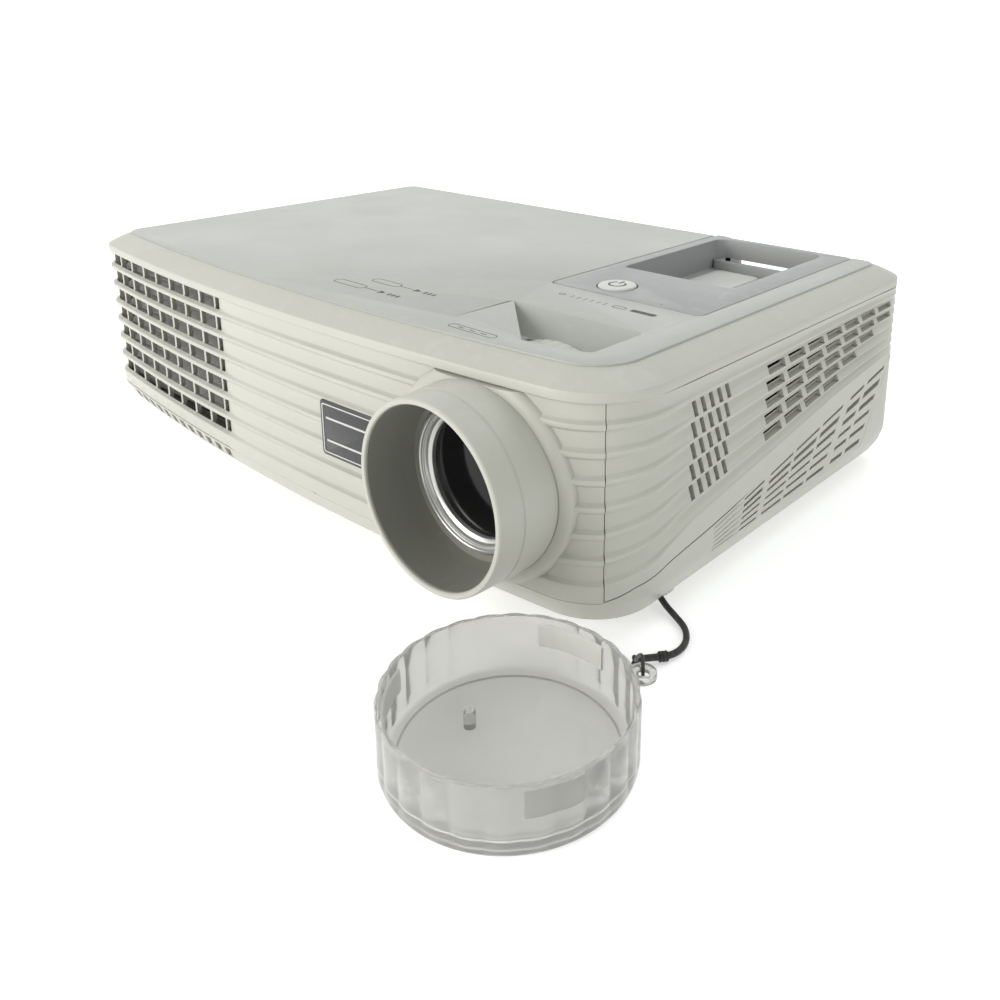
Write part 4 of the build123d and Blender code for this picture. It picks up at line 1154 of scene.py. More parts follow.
@dataclass
class Moulding:
    """The seven beads round the case, which soften into waves on the sides and close up rearwards."""

    seam: float = 74.0
    low: float = 13.0
    count: int = 7
    first: float = 0.82
    front_pitch: float = 8.26
    depth: float = 1.45
    sides: tuple[Spot, ...] = ((-85.0, 8.26), (-50.0, 6.7), (-6.0, 5.7), (40.0, 4.6), (95.0, 3.7))
    lower_seam: tuple[Spot, ...] = (
        (-84.5, 13.0), (-75.0, 17.0), (-61.0, 20.0), (-39.0, 22.5), (-19.0, 25.5), (4.0, 29.0), (28.0, 34.0), (56.0, 39.5), (93.0, 47.0),
    )

    def bottom(self, y: float) -> float:
        """Height of the lower seam at a depth in the case."""
        return table_value(self.lower_seam, y)

    def height(self, y: float, step: float, flat: bool) -> float:
        """Height of a line that keeps its place between the beads.

        Args:
            y: Depth in the case.
            step: Beads below the first one; fractions lie between beads.
            flat: Whether this is the front cover, whose beads stay level.

        Returns:
            The height in millimetres.
        """
        pitch = self.front_pitch if flat else table_value(self.sides, y)
        last = self.count - 1
        if step <= last:
            return self.seam - pitch * (self.first + step)
        end = (self.seam - self.low) / self.front_pitch - self.first
        base = self.low if flat else self.bottom(y)
        return mix(self.seam - pitch * (self.first + last), base, (step - last) / (end - last))

    def end(self) -> float:
        """Step of the lower seam."""
        return (self.seam - self.low) / self.front_pitch - self.first

    def relief(self, y: float, step: float, wave: float) -> float:
        """How far the surface lies inside the outline.

        Args:
            y: Depth in the case.
            step: Place between the beads.
            wave: 0 for crisp beads, 1 for soft waves.

        Returns:
            A height in millimetres, never above 0.
        """
        nearest = max(0, min(self.count - 1, round(step)))
        off = abs(step - nearest) * self.front_pitch
        if step > self.count - 1:
            off = 0.0
        bead = -0.3 * min(off, 1.0) ** 2 - (self.depth - 0.3) * ease(0.75, 1.75, off)
        if step > self.count - 1:
            soft = 0.0
        else:
            phase = step - math.floor(step)
            soft = -self.depth * (0.5 - 0.5 * math.cos(2 * math.pi * phase ** 0.45))
        return mix(bead, soft * ease(-0.82, -0.5, step), wave)

    def rows(self, extra: Iterable[float] = ()) -> list[float]:
        """Grid rows, as steps from the lower seam up to the upper one."""
        lines = [-self.first + 0.03, self.end() - 0.02, self.end() - 0.15]
        for k in range(self.count):
            lines += [k + off / self.front_pitch for off in (-3.3, -2.3, -1.8, -1.45, -1.1, -0.75, -0.35, 0.0, 0.35, 0.75, 1.1, 1.45, 1.8, 2.3, 3.3, 4.13)]
        lines = [v for v in lines if -self.first + 0.02 < v < self.end() - 0.01]
        kept = [v for v in lines if all(abs(v - e) > 0.035 for e in extra)]
        return sorted([*kept, *extra], reverse=True)


MOULDING = Moulding()


@dataclass
class LensMount:
    """Hood, raised ring on the cover, and the lens behind it."""

    x: float = 102.0
    z: float = 43.5
    ring_inner: float = 29.9
    ring_outer: float = 34.4
    hole: float = 30.4

    def ring(self) -> bpy.types.Object:
        """Raised ring that follows the bow of the cover and that the beads run into."""
        draft = Draft()
        profile = [(self.ring_inner, -2.4), (self.ring_inner, 0.9), (self.ring_inner + 0.5, 1.3), (31.6, 1.25), (32.9, 0.75), (33.8, 0.1), (34.4, -1.0), (34.7, -2.4)]
        rings = []
        for step in range(180):
            turn = 2 * math.pi * step / 180
            loop = []
            for radius, rise in profile:
                x = self.x + radius * math.cos(turn)
                px, py, nx, ny = OUTLINE.at(OUTLINE.front_x(min(x, 146.0)))
                loop.append((px + nx * rise, py + ny * rise, self.z + radius * math.sin(turn)))
            rings.append(loop)
        draft.rings([*rings, rings[0]], caps=False)
        piece = draft.build("hood_base_ring")
        work = bmesh.new()
        work.from_mesh(piece.data)
        for height, side in ((73.7, 1), (13.3, -1)):
            geometry = [*work.verts, *work.edges, *work.faces]
            cut = bmesh.ops.bisect_plane(
                work, geom=geometry, plane_co=place(0, 0, height), plane_no=(0, 0, side), clear_outer=True
            )
            edges = [e for e in cut["geom_cut"] if isinstance(e, bmesh.types.BMEdge)]
            bmesh.ops.holes_fill(work, edges=edges)
        bmesh.ops.recalc_face_normals(work, faces=work.faces)
        work.to_mesh(piece.data)
        work.free()
        return settle(piece)

    def hood(self) -> bpy.types.Object:
        """Collar with a flat lip, a fine groove and a widening base."""
        profile = [(27.7, -112.6), (28.0, -113.0), (29.2, -113.0), (29.6, -112.6), (29.75, -111.5), (29.9, -104.5)]
        profile += [(29.7, -104.2), (29.7, -103.7), (30.0, -103.4), (30.3, -98.0), (30.3, -84.0), (27.85, -84.0)]
        profile += [(27.85, -95.5), (27.85, -103.0), (27.85, -111.2)]
        return settle(Draft().turned(profile, (self.x, self.z), steps=160).build("hood_collar"), 30)

    def hood_painted_shade_lining(self) -> bpy.types.Object:
        """Cone inside the hood, coloured dark as painted shade on the hood's inner wall."""
        profile = [(27.84, -111.9), (27.6, -111.9), (26.9, -100.0), (25.6, -95.6), (23.6, -95.2), (23.6, -94.0), (26.2, -94.6), (27.7, -99.0)]
        return settle(Draft().turned(profile, (self.x, self.z), steps=128).build("hood_painted_shade_lining"), 30)

    def cell(self) -> bpy.types.Object:
        """Stepped silver ring round the glass."""
        profile = [(23.0, -90.0), (23.15, -95.8), (22.8, -96.2), (22.2, -96.3), (21.95, -96.1), (21.75, -95.5), (20.9, -95.4), (20.6, -95.1)]
        profile += [(20.35, -94.4), (19.6, -94.2), (19.15, -93.8), (19.1, -92.0), (19.1, -84.0), (21.0, -80.0), (21.1, -70.0), (21.2, -70.0), (21.2, -90.0)]
        return settle(Draft().turned(profile, (self.x, self.z), steps=128).build("front_cell_ring"), 30)

    def glass(self) -> bpy.types.Object:
        """Dark coated front element with a gently domed face."""
        dome = [(19.05 * i / 14, -93.9 + 1.5 * (i / 14) ** 2) for i in range(15)]
        profile = [*dome, (19.05, -87.0), (0.0, -87.0)]
        return settle(Draft().turned(profile, (self.x, self.z), steps=96).build("front_element"), 40)

    def focus_ring(self) -> bpy.types.Object:
        """Ring with slanted flutes; its top stands in the focus window."""
        def flute(angle: float, reach: float) -> float:
            """Depth of the flutes, which lean across the ring."""
            wave = abs(math.sin(angle * 24 + (reach + 64) * 0.16))
            return -1.15 * (1 - wave ** 0.7) * ease(-56.2, -57.4, reach) * ease(-72.4, -71.2, reach)

        profile = [(32.2, -56.0), (32.9, -56.5), (33.0, -57.2), (33.0, -60.0), (33.0, -63.0), (33.0, -66.0), (33.0, -69.0), (33.0, -71.4), (32.2, -72.4)]
        profile += [(23.45, -72.4), (23.45, -56.0)]
        return settle(Draft().turned(profile, (self.x, self.z), steps=384, ripple=flute).build("focus_collar_ring"), 30)

    def build(self) -> None:
        """Makes and dresses the lens group."""
        dress(self.ring(), CASE, "projector")
        dress(self.hood(), CASE, "projector", "lens_hood")
        # Dark sheet lining the hood: painted shade in the hollow of the hood.
        dress(self.hood_painted_shade_lining(), HOOD_INSIDE_PAINTED_SHADE, "projector")
        dress(self.cell(), SILVER, "front_cell_body", "front_cell")
        dress(self.glass(), GLASS, "front_cell_body", "front_lens")
        dress(self.focus_ring(), RING, "focus_collar", "focus_ring")


@dataclass
class FrontCover:
    """Bowed front with its beads, the exhaust grille and the hood opening."""

    mount: LensMount
    bar_pitch: float = 13.2
    first_bar: float = -50.3
    bar: float = 1.5
    cells: int = 8
    narrow: Spot = (-37.4, -34.4)
    seam_right: float = -83.0
    seam_left: float = -66.0
    wall: float = 2.3

    def openings(self) -> list[Spot]:
        """Station range of every grille column."""
        spans = [(OUTLINE.front_x(self.narrow[0]), OUTLINE.front_x(self.narrow[1]))]
        right = OUTLINE.front_x(self.first_bar + self.bar_pitch - 1.5)
        middle = OUTLINE.front_x(self.first_bar)
        for _ in range(self.cells):
            spans.append((middle + self.bar / 2, right))
            right = middle - self.bar / 2
            middle -= self.bar_pitch
        return spans

    def cover(self) -> bpy.types.Object:
        """The moulded skin with its cells cut and its wall thickened."""
        start, end = OUTLINE.left_y(self.seam_left) + 0.15, OUTLINE.right_y(self.seam_right) - 0.12
        spans = self.openings()
        edges = [edge for span in spans for edge in span]
        hood_low, hood_high = OUTLINE.front_x(self.mount.x - 37), OUTLINE.front_x(self.mount.x + 38)
        plain = OUTLINE.stations(start, end)
        fine = [hood_low + (hood_high - hood_low) * i / 90 for i in range(91)]
        lines = [s for s in plain if not hood_low < s < hood_high and all(abs(s - e) > 0.8 for e in edges)]
        near = [edge + off for span in spans for edge, off in ((span[0], -0.5), (span[1], 0.5))]
        lines = [s for s in lines if all(abs(s - n) > 0.4 for n in near)]
        columns = tidy_lines([*lines, *edges, *near, *fine], 0.05)
        grille = (spans[-1][0], spans[0][1])
        half = 1.3 / MOULDING.front_pitch

        def spot(station: float, step: float) -> Point:
            """Place of a grid point on the cover."""
            x, y, nx, ny = OUTLINE.at(station)
            bead = MOULDING.relief(y, step, 0.0)
            soft = MOULDING.relief(y, step, 0.55)
            off = mix(bead, soft, ease(40.0, -20.0, x) * ease(grille[1] - 2, grille[1] + 12, station) * 0.8)
            if grille[0] - 3 < station < grille[1] + 1:
                off = bead - 0.35 * ease(0.9, 1.6, abs(step - round(step)) * MOULDING.front_pitch)
            inside = [s for s in spans if s[0] - 0.01 < station < s[1] + 0.01]
            if inside and off < -0.3:
                off -= 0.2
            return x + nx * off, y + ny * off, MOULDING.height(y, step, True)

        def keep(station: float, step: float) -> bool:
            """Whether a cell of the cover is solid."""
            x, y, _, _ = OUTLINE.at(station)
            z = MOULDING.height(y, step, True)
            if math.hypot(x - self.mount.x, z - self.mount.z) < self.mount.hole and y < -60:
                return False
            between = step - math.floor(step)
            row = half < between < 1 - half and -1 < step < MOULDING.count - 1 and step > -MOULDING.first + 0.1
            return not (row and any(low < station < high for low, high in spans))

        rows = MOULDING.rows((-MOULDING.first + 0.1,))
        piece = skin("front_moulding", columns, rows, spot, keep)
        self.round_hole(piece)
        return thicken(piece, self.wall)

    def round_hole(self, piece: bpy.types.Object) -> None:
        """Draws the stepped rim of the hood opening out to a true circle."""
        work = bmesh.new()
        work.from_mesh(piece.data)
        middle = place(self.mount.x, 0.0, self.mount.z)
        for vert in work.verts:
            if not vert.is_boundary:
                continue
            dx, dz = vert.co.x - middle.x, vert.co.z - middle.z
            out = math.hypot(dx, dz)
            if abs(out - self.mount.hole * MM) < 1.4 * MM and abs(dz) < 30.3 * MM:
                vert.co.x = middle.x + dx / out * self.mount.hole * MM
                vert.co.z = middle.z + dz / out * self.mount.hole * MM
        work.to_mesh(piece.data)
        work.free()

    def louvres(self) -> bpy.types.Object:
        """Slanted light-grey slats behind the grille."""
        spots = [(-87.0, -82.2, 17.5 + row * 4.2) for row in range(13)]
        return BARS.lay("exhaust_slats", spots, (98.0, 5.2, 1.0), 0.4, (40.0, 0.0, 0.0), LOUVRE)

    def baffle(self) -> bpy.types.Object:
        """Frame that carries the slats."""
        draft = Draft()
        outer = [(-139.0, 13.8), (-36.0, 13.8), (-36.0, 72.5), (-139.0, 72.5)]
        inner = [(-136.0, 16.0), (-38.0, 16.0), (-38.0, 70.0), (-136.0, 70.0)]
        loops = [[(x, y, z) for x, z in line] for line, y in ((outer, -84.0), (outer, -80.2), (inner, -80.2), (inner, -84.0))]
        draft.rings([*loops, loops[0]], caps=False)
        return soften(draft.build("exhaust_frame"), 0.5)

    def build(self) -> None:
        """Makes and dresses the front."""
        dress(self.cover(), CASE, "projector", "front_cover")
        dress(self.louvres(), LOUVRE, "projector", "exhaust_louvre")
        dress(self.baffle(), LOUVRE, "projector")


@dataclass
class Badge:
    """Dark plate on the front, left plain but for a thin light border and two lines."""

    x: Spot = (31.0, 66.5)
    z: Spot = (31.0, 51.0)
    proud: float = 0.75

    def plate(self, name: str, outline: Sequence[Spot], low: float, high: float) -> bpy.types.Object:
        """Bends an (x, z) outline onto the bowed cover.

        Args:
            name: Piece name.
            outline: The plate's edge.
            low: Depth of its back, from the case outline.
            high: Height of its face.

        Returns:
            The plate.
        """
        draft = Draft()
        loops = []
        for rise in (low, high):
            ring = []
            for x, z in outline:
                px, py, nx, ny = OUTLINE.at(OUTLINE.front_x(x))
                ring.append((px + nx * rise, py + ny * rise, z))
            loops.append(ring)
        return draft.rings(loops).build(name)

    def band(self, name: str, outer: Sequence[Spot], inner: Sequence[Spot], low: float, high: float) -> bpy.types.Object:
        """Bends a band between two (x, z) outlines onto the cover."""
        draft = Draft()
        loops = []
        for line, rise in ((outer, low), (outer, high), (inner, high), (inner, low)):
            ring = []
            for x, z in line:
                px, py, nx, ny = OUTLINE.at(OUTLINE.front_x(x))
                ring.append((px + nx * rise, py + ny * rise, z))
            loops.append(ring)
        return draft.rings([*loops, loops[0]], caps=False).build(name)

    def build(self) -> None:
        """Makes and dresses the badge."""
        edge = rounded_box(*self.x, *self.z, 1.4)
        dress(soften(self.plate("badge_body", edge, -1.2, self.proud - 0.1), 0.3), BADGE, "projector", "badge_plate")
        inner = rounded_box(self.x[0] + 1.1, self.x[1] - 1.1, self.z[0] + 1.1, self.z[1] - 1.1, 0.9)
        core = rounded_box(self.x[0] + 1.5, self.x[1] - 1.5, self.z[0] + 1.5, self.z[1] - 1.5, 0.7)
        dress(settle(self.band("badge_border", inner, core, self.proud - 0.2, self.proud)), BADGE_LINE, "projector")
        for name, span, z in (("badge_line_upper", (34.0, 63.0), 44.6), ("badge_line_lower", (34.0, 63.0), 36.4)):
            strip = rounded_box(*span, z, z + 0.7, 0.3, 3)
            dress(settle(self.plate(name, strip, self.proud - 0.2, self.proud - 0.03)), BADGE_LINE, "projector")


@dataclass
class SideWalls:
    """Sides and rear of the top cover, with the vents on the right."""

    vents: tuple[int, ...] = (7, 7, 6, 5, 4)
    vent_start: float = -9.0
    vent_pitch: float = 13.4
    vent_length: float = 10.6
    vent_band: Spot = (0.42, 0.93)
    slot_start: float = -51.0
    slot_pitch: float = 4.4
    slot_width: float = 2.0
    slot_band: Spot = (0.24, 0.9)
    grip_x: Spot = (73.5, 116.5)
    grip_z: Spot = (52.5, 73.3)
    wall: float = 2.3

    def wall_piece(self) -> bpy.types.Object:
        """The wall from the right-hand seam round the rear to the left-hand seam."""
        start = OUTLINE.right_y(-83.0) + 0.12
        end = OUTLINE.total() + OUTLINE.left_y(-66.0) - 0.15
        slots = [(OUTLINE.right_y(self.slot_start + i * self.slot_pitch), OUTLINE.right_y(self.slot_start + i * self.slot_pitch + self.slot_width)) for i in range(5)]
        cells = []
        for i in range(max(self.vents)):
            low = self.vent_start + i * self.vent_pitch
            cells.append((OUTLINE.right_y(low), OUTLINE.right_y(min(low + self.vent_length, 82.6))))
        corner = OUTLINE.mark(6)
        turn_x = OUTLINE.at(corner)[0]
        grip = (corner + turn_x - self.grip_x[1], corner + turn_x - self.grip_x[0])
        edges = [edge for span in [*slots, *cells, grip] for edge in span]
        lines = [s for s in OUTLINE.stations(start, end, 3.2) if all(abs(s - e) > 0.7 for e in edges)]
        columns = tidy_lines([*lines, *edges], 0.05)
        extra = []
        for k in range(5):
            extra += [k + self.vent_band[0], k + self.vent_band[1], k + self.slot_band[0], k + self.slot_band[1]]

        def spot(station: float, step: float) -> Point:
            """Place of a grid point on the wall."""
            x, y, nx, ny = OUTLINE.at(station)
            wave = ease(-84.0, -50.0, y) * 0.85
            off = MOULDING.relief(y, step, wave)
            if y > 60:
                off *= 1 - 0.7 * ease(60.0, 92.0, y)
            return x + nx * off, y + ny * off, MOULDING.height(y, step, False)

        def keep(station: float, step: float) -> bool:
            """Whether a cell of the wall is solid."""
            if grip[0] < station < grip[1]:
                _, y, _, _ = OUTLINE.at(station)
                return not self.grip_z[0] < MOULDING.height(y, step, False) < self.grip_z[1]
            row = math.floor(step)
            if not 0 <= row < 5:
                return True
            between = step - row
            if self.slot_band[0] < between < self.slot_band[1] and any(a < station < b for a, b in slots):
                return False
            open_cells = cells[: self.vents[row]]
            return not (self.vent_band[0] < between < self.vent_band[1] and any(a < station < b for a, b in open_cells))

        return thicken(skin("side_moulding", columns, MOULDING.rows(extra), spot, keep), self.wall)

    def filter_strands(self) -> bpy.types.Object:
        """Crossed ribs of the filter behind the large vents."""
        spots = [(144.2, -8.0 + i * 2.4, 50.0) for i in range(39)]
        return BARS.lay("filter_ribs", spots, (38.0, 0.7, 0.9), 0.2, (0.0, 90.0, 0.0), FILTER)

    def filter_frame(self) -> bpy.types.Object:
        """Frame round the filter."""
        draft = Draft()
        outer = [(-10.0, 30.0), (84.0, 30.0), (84.0, 70.0), (-10.0, 70.0)]
        inner = [(-7.5, 32.5), (81.5, 32.5), (81.5, 67.5), (-7.5, 67.5)]
        loops = [[(x, y, z) for y, z in line] for line, x in ((outer, 142.6), (outer, 146.0), (inner, 146.0), (inner, 142.6))]
        draft.rings([*loops, loops[0]], caps=False)
        sheet = [(x, y, z) for x, y, z in ((143.0, -9.0, 31.0), (143.0, 83.0, 31.0), (143.0, 83.0, 69.0), (143.0, -9.0, 69.0))]
        draft.rings([sheet, [(x + 0.6, y, z) for x, y, z in sheet]])
        return soften(draft.build("filter_cassette"), 0.3)

    def build(self) -> None:
        """Makes and dresses the walls."""
        dress(self.wall_piece(), CASE, "projector", "top_cover")
        dress(self.filter_strands(), FILTER, "projector", "air_filter")
        dress(self.filter_frame(), FILTER, "projector")


@dataclass
class TopCover:
    """Lip, chamfer and raised plateau of the top, with the focus window."""

    inset: float = 10.0
    crown: float = 81.75
    lip: float = 77.4
    window: tuple[Spot, ...] = ((72.0, -46.0), (127.0, -46.0), (127.0, -70.5), (104.0, -75.0))
    flare: Spot = (71.0, -73.0)
    insert_x: Spot = (64.7, 130.3)
    insert_y: float = -20.3

    def rim(self) -> bpy.types.Object:
        """Strip and chamfer all round, from the seam up to the plateau."""
        profile = [(2.6, 74.1), (0.3, 74.1), (0.0, 74.5), (0.0, 76.9), (0.18, 77.3), (0.6, 77.55), (3.4, 78.9), (6.4, 80.2), (9.3, 81.2), (10.0, 81.3), (10.6, 81.2), (10.6, 79.4), (8.8, 78.9), (2.6, 76.2)]
        draft = Draft()
        stations = OUTLINE.stations(0.0, OUTLINE.total(), 8.0, 1.1)[:-1]
        rings = []
        for station in stations:
            loop = []
            for inset, z in profile:
                x, y, _, _ = OUTLINE.at(station, inset)
                loop.append((x, y, z))
            rings.append(loop)
        draft.rings([*rings, rings[0]], caps=False)
        rim = draft.build("top_rim")
        notch = Draft().prism(rounded_box(64.9, 130.1, 80.0, 105.0, 0.2, 2), 78.3, 90.0).build("rim_notch")
        return settle(carve(rim, notch), 26)

    def plateau(self) -> bpy.types.Object:
        """Raised top with the insert notch and the window opening cut out."""
        outer = []
        for station in OUTLINE.stations(0.0, OUTLINE.total(), 8.0, 1.0)[:-1]:
            x, y, _, _ = OUTLINE.at(station, self.inset)
            outer.append((x, y))
        slab = soften(Draft().prism(outer, self.crown - 1.9, self.crown + 0.2).build("top_plateau"), 0.35, 3, 50)
        x0, x1 = self.insert_x
        notch = rounded_box(x0, x1, self.insert_y, 120.0, 3.0)
        carve(slab, Draft().prism(notch, 70.0, 90.0).build("insert_notch"))
        opening = [(71.0, -46.0), *self.window[1:], self.flare]
        carve(slab, Draft().prism(self.rounded(opening, 2.4), 70.0, 90.0).build("window_cut"))
        return soften(slab, 0.16, 2, 60)

    def rounded(self, corners: Sequence[Spot], radius: float) -> list[Spot]:
        """Outline with its corners rounded."""
        spots = []
        count = len(corners)
        for i, here in enumerate(corners):
            before, after = Vector(corners[i - 1]), Vector(corners[(i + 1) % count])
            middle = Vector(here)
            a = middle + (before - middle).normalized() * radius
            b = middle + (after - middle).normalized() * radius
            for step in range(5):
                t = step / 4
                spot = a * (1 - t) ** 2 + middle * 2 * t * (1 - t) + b * t * t
                spots.append((spot.x, spot.y))
        return spots

    def slope_height(self, y: float) -> float:
        """Height of the window's sloping floor at a depth in the case."""
        return max(74.0, self.crown + 0.1 - max(0.0, -46.3 - y) * 0.87)

    def tray(self) -> bpy.types.Object:
        """Sloping floor with its arched slot; the walls and the shallow flare to the left are made by their own
        methods.
        """
        top = self.crown + 0.05
        draft = Draft()
        ys = [-45.4, -46.0, *(-46.3 - 1.1 * i for i in range(1, 9)), -56.0, -62.0, -69.0, -76.4]
        count = 12
        for y in ys:
            height = self.slope_height(y) if y < -46 else top
            draft.points.extend((71.5 + 56.0 * i / (count - 1), y, height) for i in range(count))
        for j in range(len(ys) - 1):
            for i in range(count - 1):
                here = j * count + i
                draft.faces.append((here, here + count, here + count + 1, here + 1))
        floor = draft.build("window_floor", closed=False)
        thicken(floor, 1.2)
        slot = Draft().prism(rounded_box(87.4, 116.6, -74.2, -55.4, 1.0), 66.0, 90.0).build("ring_slot")
        return settle(carve(floor, slot), 24)

    def walls(self) -> bpy.types.Object:
        """Upright sides of the window: right, front and the slanting left one."""
        draft = Draft()
        top = self.crown
        _, b, c, d = self.window
        path = [(127.6, -45.4), (127.6, -71.2), (104.0, -75.8), (71.6, -45.6)]
        inner = [(b[0], -45.4), (c[0], c[1]), (d[0], d[1]), (72.4, -46.4)]
        for i in range(3):
            (x0, y0), (x1, y1) = path[i], path[i + 1]
            (u0, v0), (u1, v1) = inner[i], inner[i + 1]
            low = 64.0
            high = top - (0.15 if i < 2 else 0.0)
            heights = (high, high) if i < 2 else (top - 1.9, top + 0.1)
            draft.rings([
                [(x0, y0, low), (x1, y1, low), (u1, v1, low), (u0, v0, low)],
                [(x0, y0, heights[0]), (x1, y1, heights[1]), (u1, v1, heights[1]), (u0, v0, heights[0])],
            ])
        walls = draft.build("window_walls")
        mount = LensMount()
        ring = [(0.0, -73.4), (33.6, -73.4), (33.6, -55.4), (0.0, -55.4)]
        carve(walls, Draft().turned(ring, (mount.x, mount.z), steps=160).build("ring_room"))
        return soften(walls, 0.25)

    def flare_sheet(self) -> bpy.types.Object:
        """Shallow three-cornered scoop beside the window."""
        draft = Draft()
        a, d = Vector((72.0, -46.0)), Vector((104.0, -75.2))
        e = Vector(self.flare)
        steps = 20
        rows = []
        for j in range(steps + 1):
            v = j / steps
            left, right = a.lerp(e, v), a.lerp(d, v)
            row = []
            for i in range(steps + 1):
                u = i / steps
                spot = left.lerp(right, u)
                drop = 2.0 * u * u * v + 0.35 * math.sin(math.pi * u) * v
                edge = ease(0.0, 0.16, 1 - v) if u > 0 else 0.0
                row.append((spot.x, spot.y, self.crown + 0.12 - drop * max(edge, 0.55 * u)))
            rows.append(row)
        for row in rows:
            draft.points.extend(row)
        for j in range(steps):
            for i in range(steps):
                here = j * (steps + 1) + i
                draft.faces.append((here, here + steps + 1, here + steps + 2, here + 1))
        sheet = draft.build("window_flare", closed=False)
        return thicken(sheet, 1.0)

    def marks(self) -> bpy.types.Object:
        """Plain printed signs: a pill by the window, the light scale, and two cable signs."""
        draft = Draft()
        low, high = self.crown + 0.16, self.crown + 0.225
        pill = rounded_box(76.0, 96.5, -80.4, -77.2, 1.55)
        frame_prism(draft, pill, rounded_box(76.3, 96.2, -80.1, -77.5, 1.25), low, high)
        for i in range(3):
            draft.prism(rounded_box(80.0 + i * 5.0, 82.6 + i * 5.0, -79.05, -78.6, 0.2, 2), low, high)
        frame_prism(draft, oval(79.0, -29.0, 1.5, 1.0), oval(79.0, -29.0, 1.15, 0.68), low, high)
        for i in range(6):
            draft.prism(rounded_box(83.4 + i * 2.9, 83.75 + i * 2.9, -30.3, -27.7, 0.15, 2), low, high)
        frame_prism(draft, rounded_box(101.4, 106.8, -30.3, -27.7, 0.9), rounded_box(101.75, 106.45, -29.95, -28.05, 0.6), low, high)
        draft.prism(rounded_box(109.0, 119.0, -30.2, -27.8, 0.8), low, high)
        for x, y, wide in ((14.0, -62.0, 15.0), (4.0, -71.5, 17.0)):
            frame_prism(draft, rounded_box(x, x + wide, y, y + 4.2, 2.0), rounded_box(x + 0.4, x + wide - 0.4, y + 0.4, y + 3.8, 1.6), low, high)
            draft.prism(rounded_box(x + wide, x + wide + 7, y + 1.9, y + 2.3, 0.15, 2), low, high)
            draft.prism([(x + wide + 8, y + 0.6), (x + wide + 11.5, y + 2.1), (x + wide + 8, y + 3.6)], low, high)
            for i in range(3):
                draft.prism(rounded_box(x + wide + 13 + i * 2.2, x + wide + 14.2 + i * 2.2, y + 1.0, y + 3.2, 0.2, 2), low, high)
        return settle(draft.build("top_signs"))

    def build(self) -> None:
        """Makes and dresses the top."""
        dress(self.rim(), CASE, "projector")
        # Plateau, tray, walls and flare take the darker top plastic, which is painted shade on the top.
        dress(self.plateau(), TOP_PAINTED_SHADE, "projector")
        dress(self.tray(), TOP_PAINTED_SHADE, "projector")
        dress(self.walls(), TOP_PAINTED_SHADE, "projector")
        dress(self.flare_sheet(), TOP_PAINTED_SHADE, "projector")
        dress(self.marks(), PRINT, "projector")


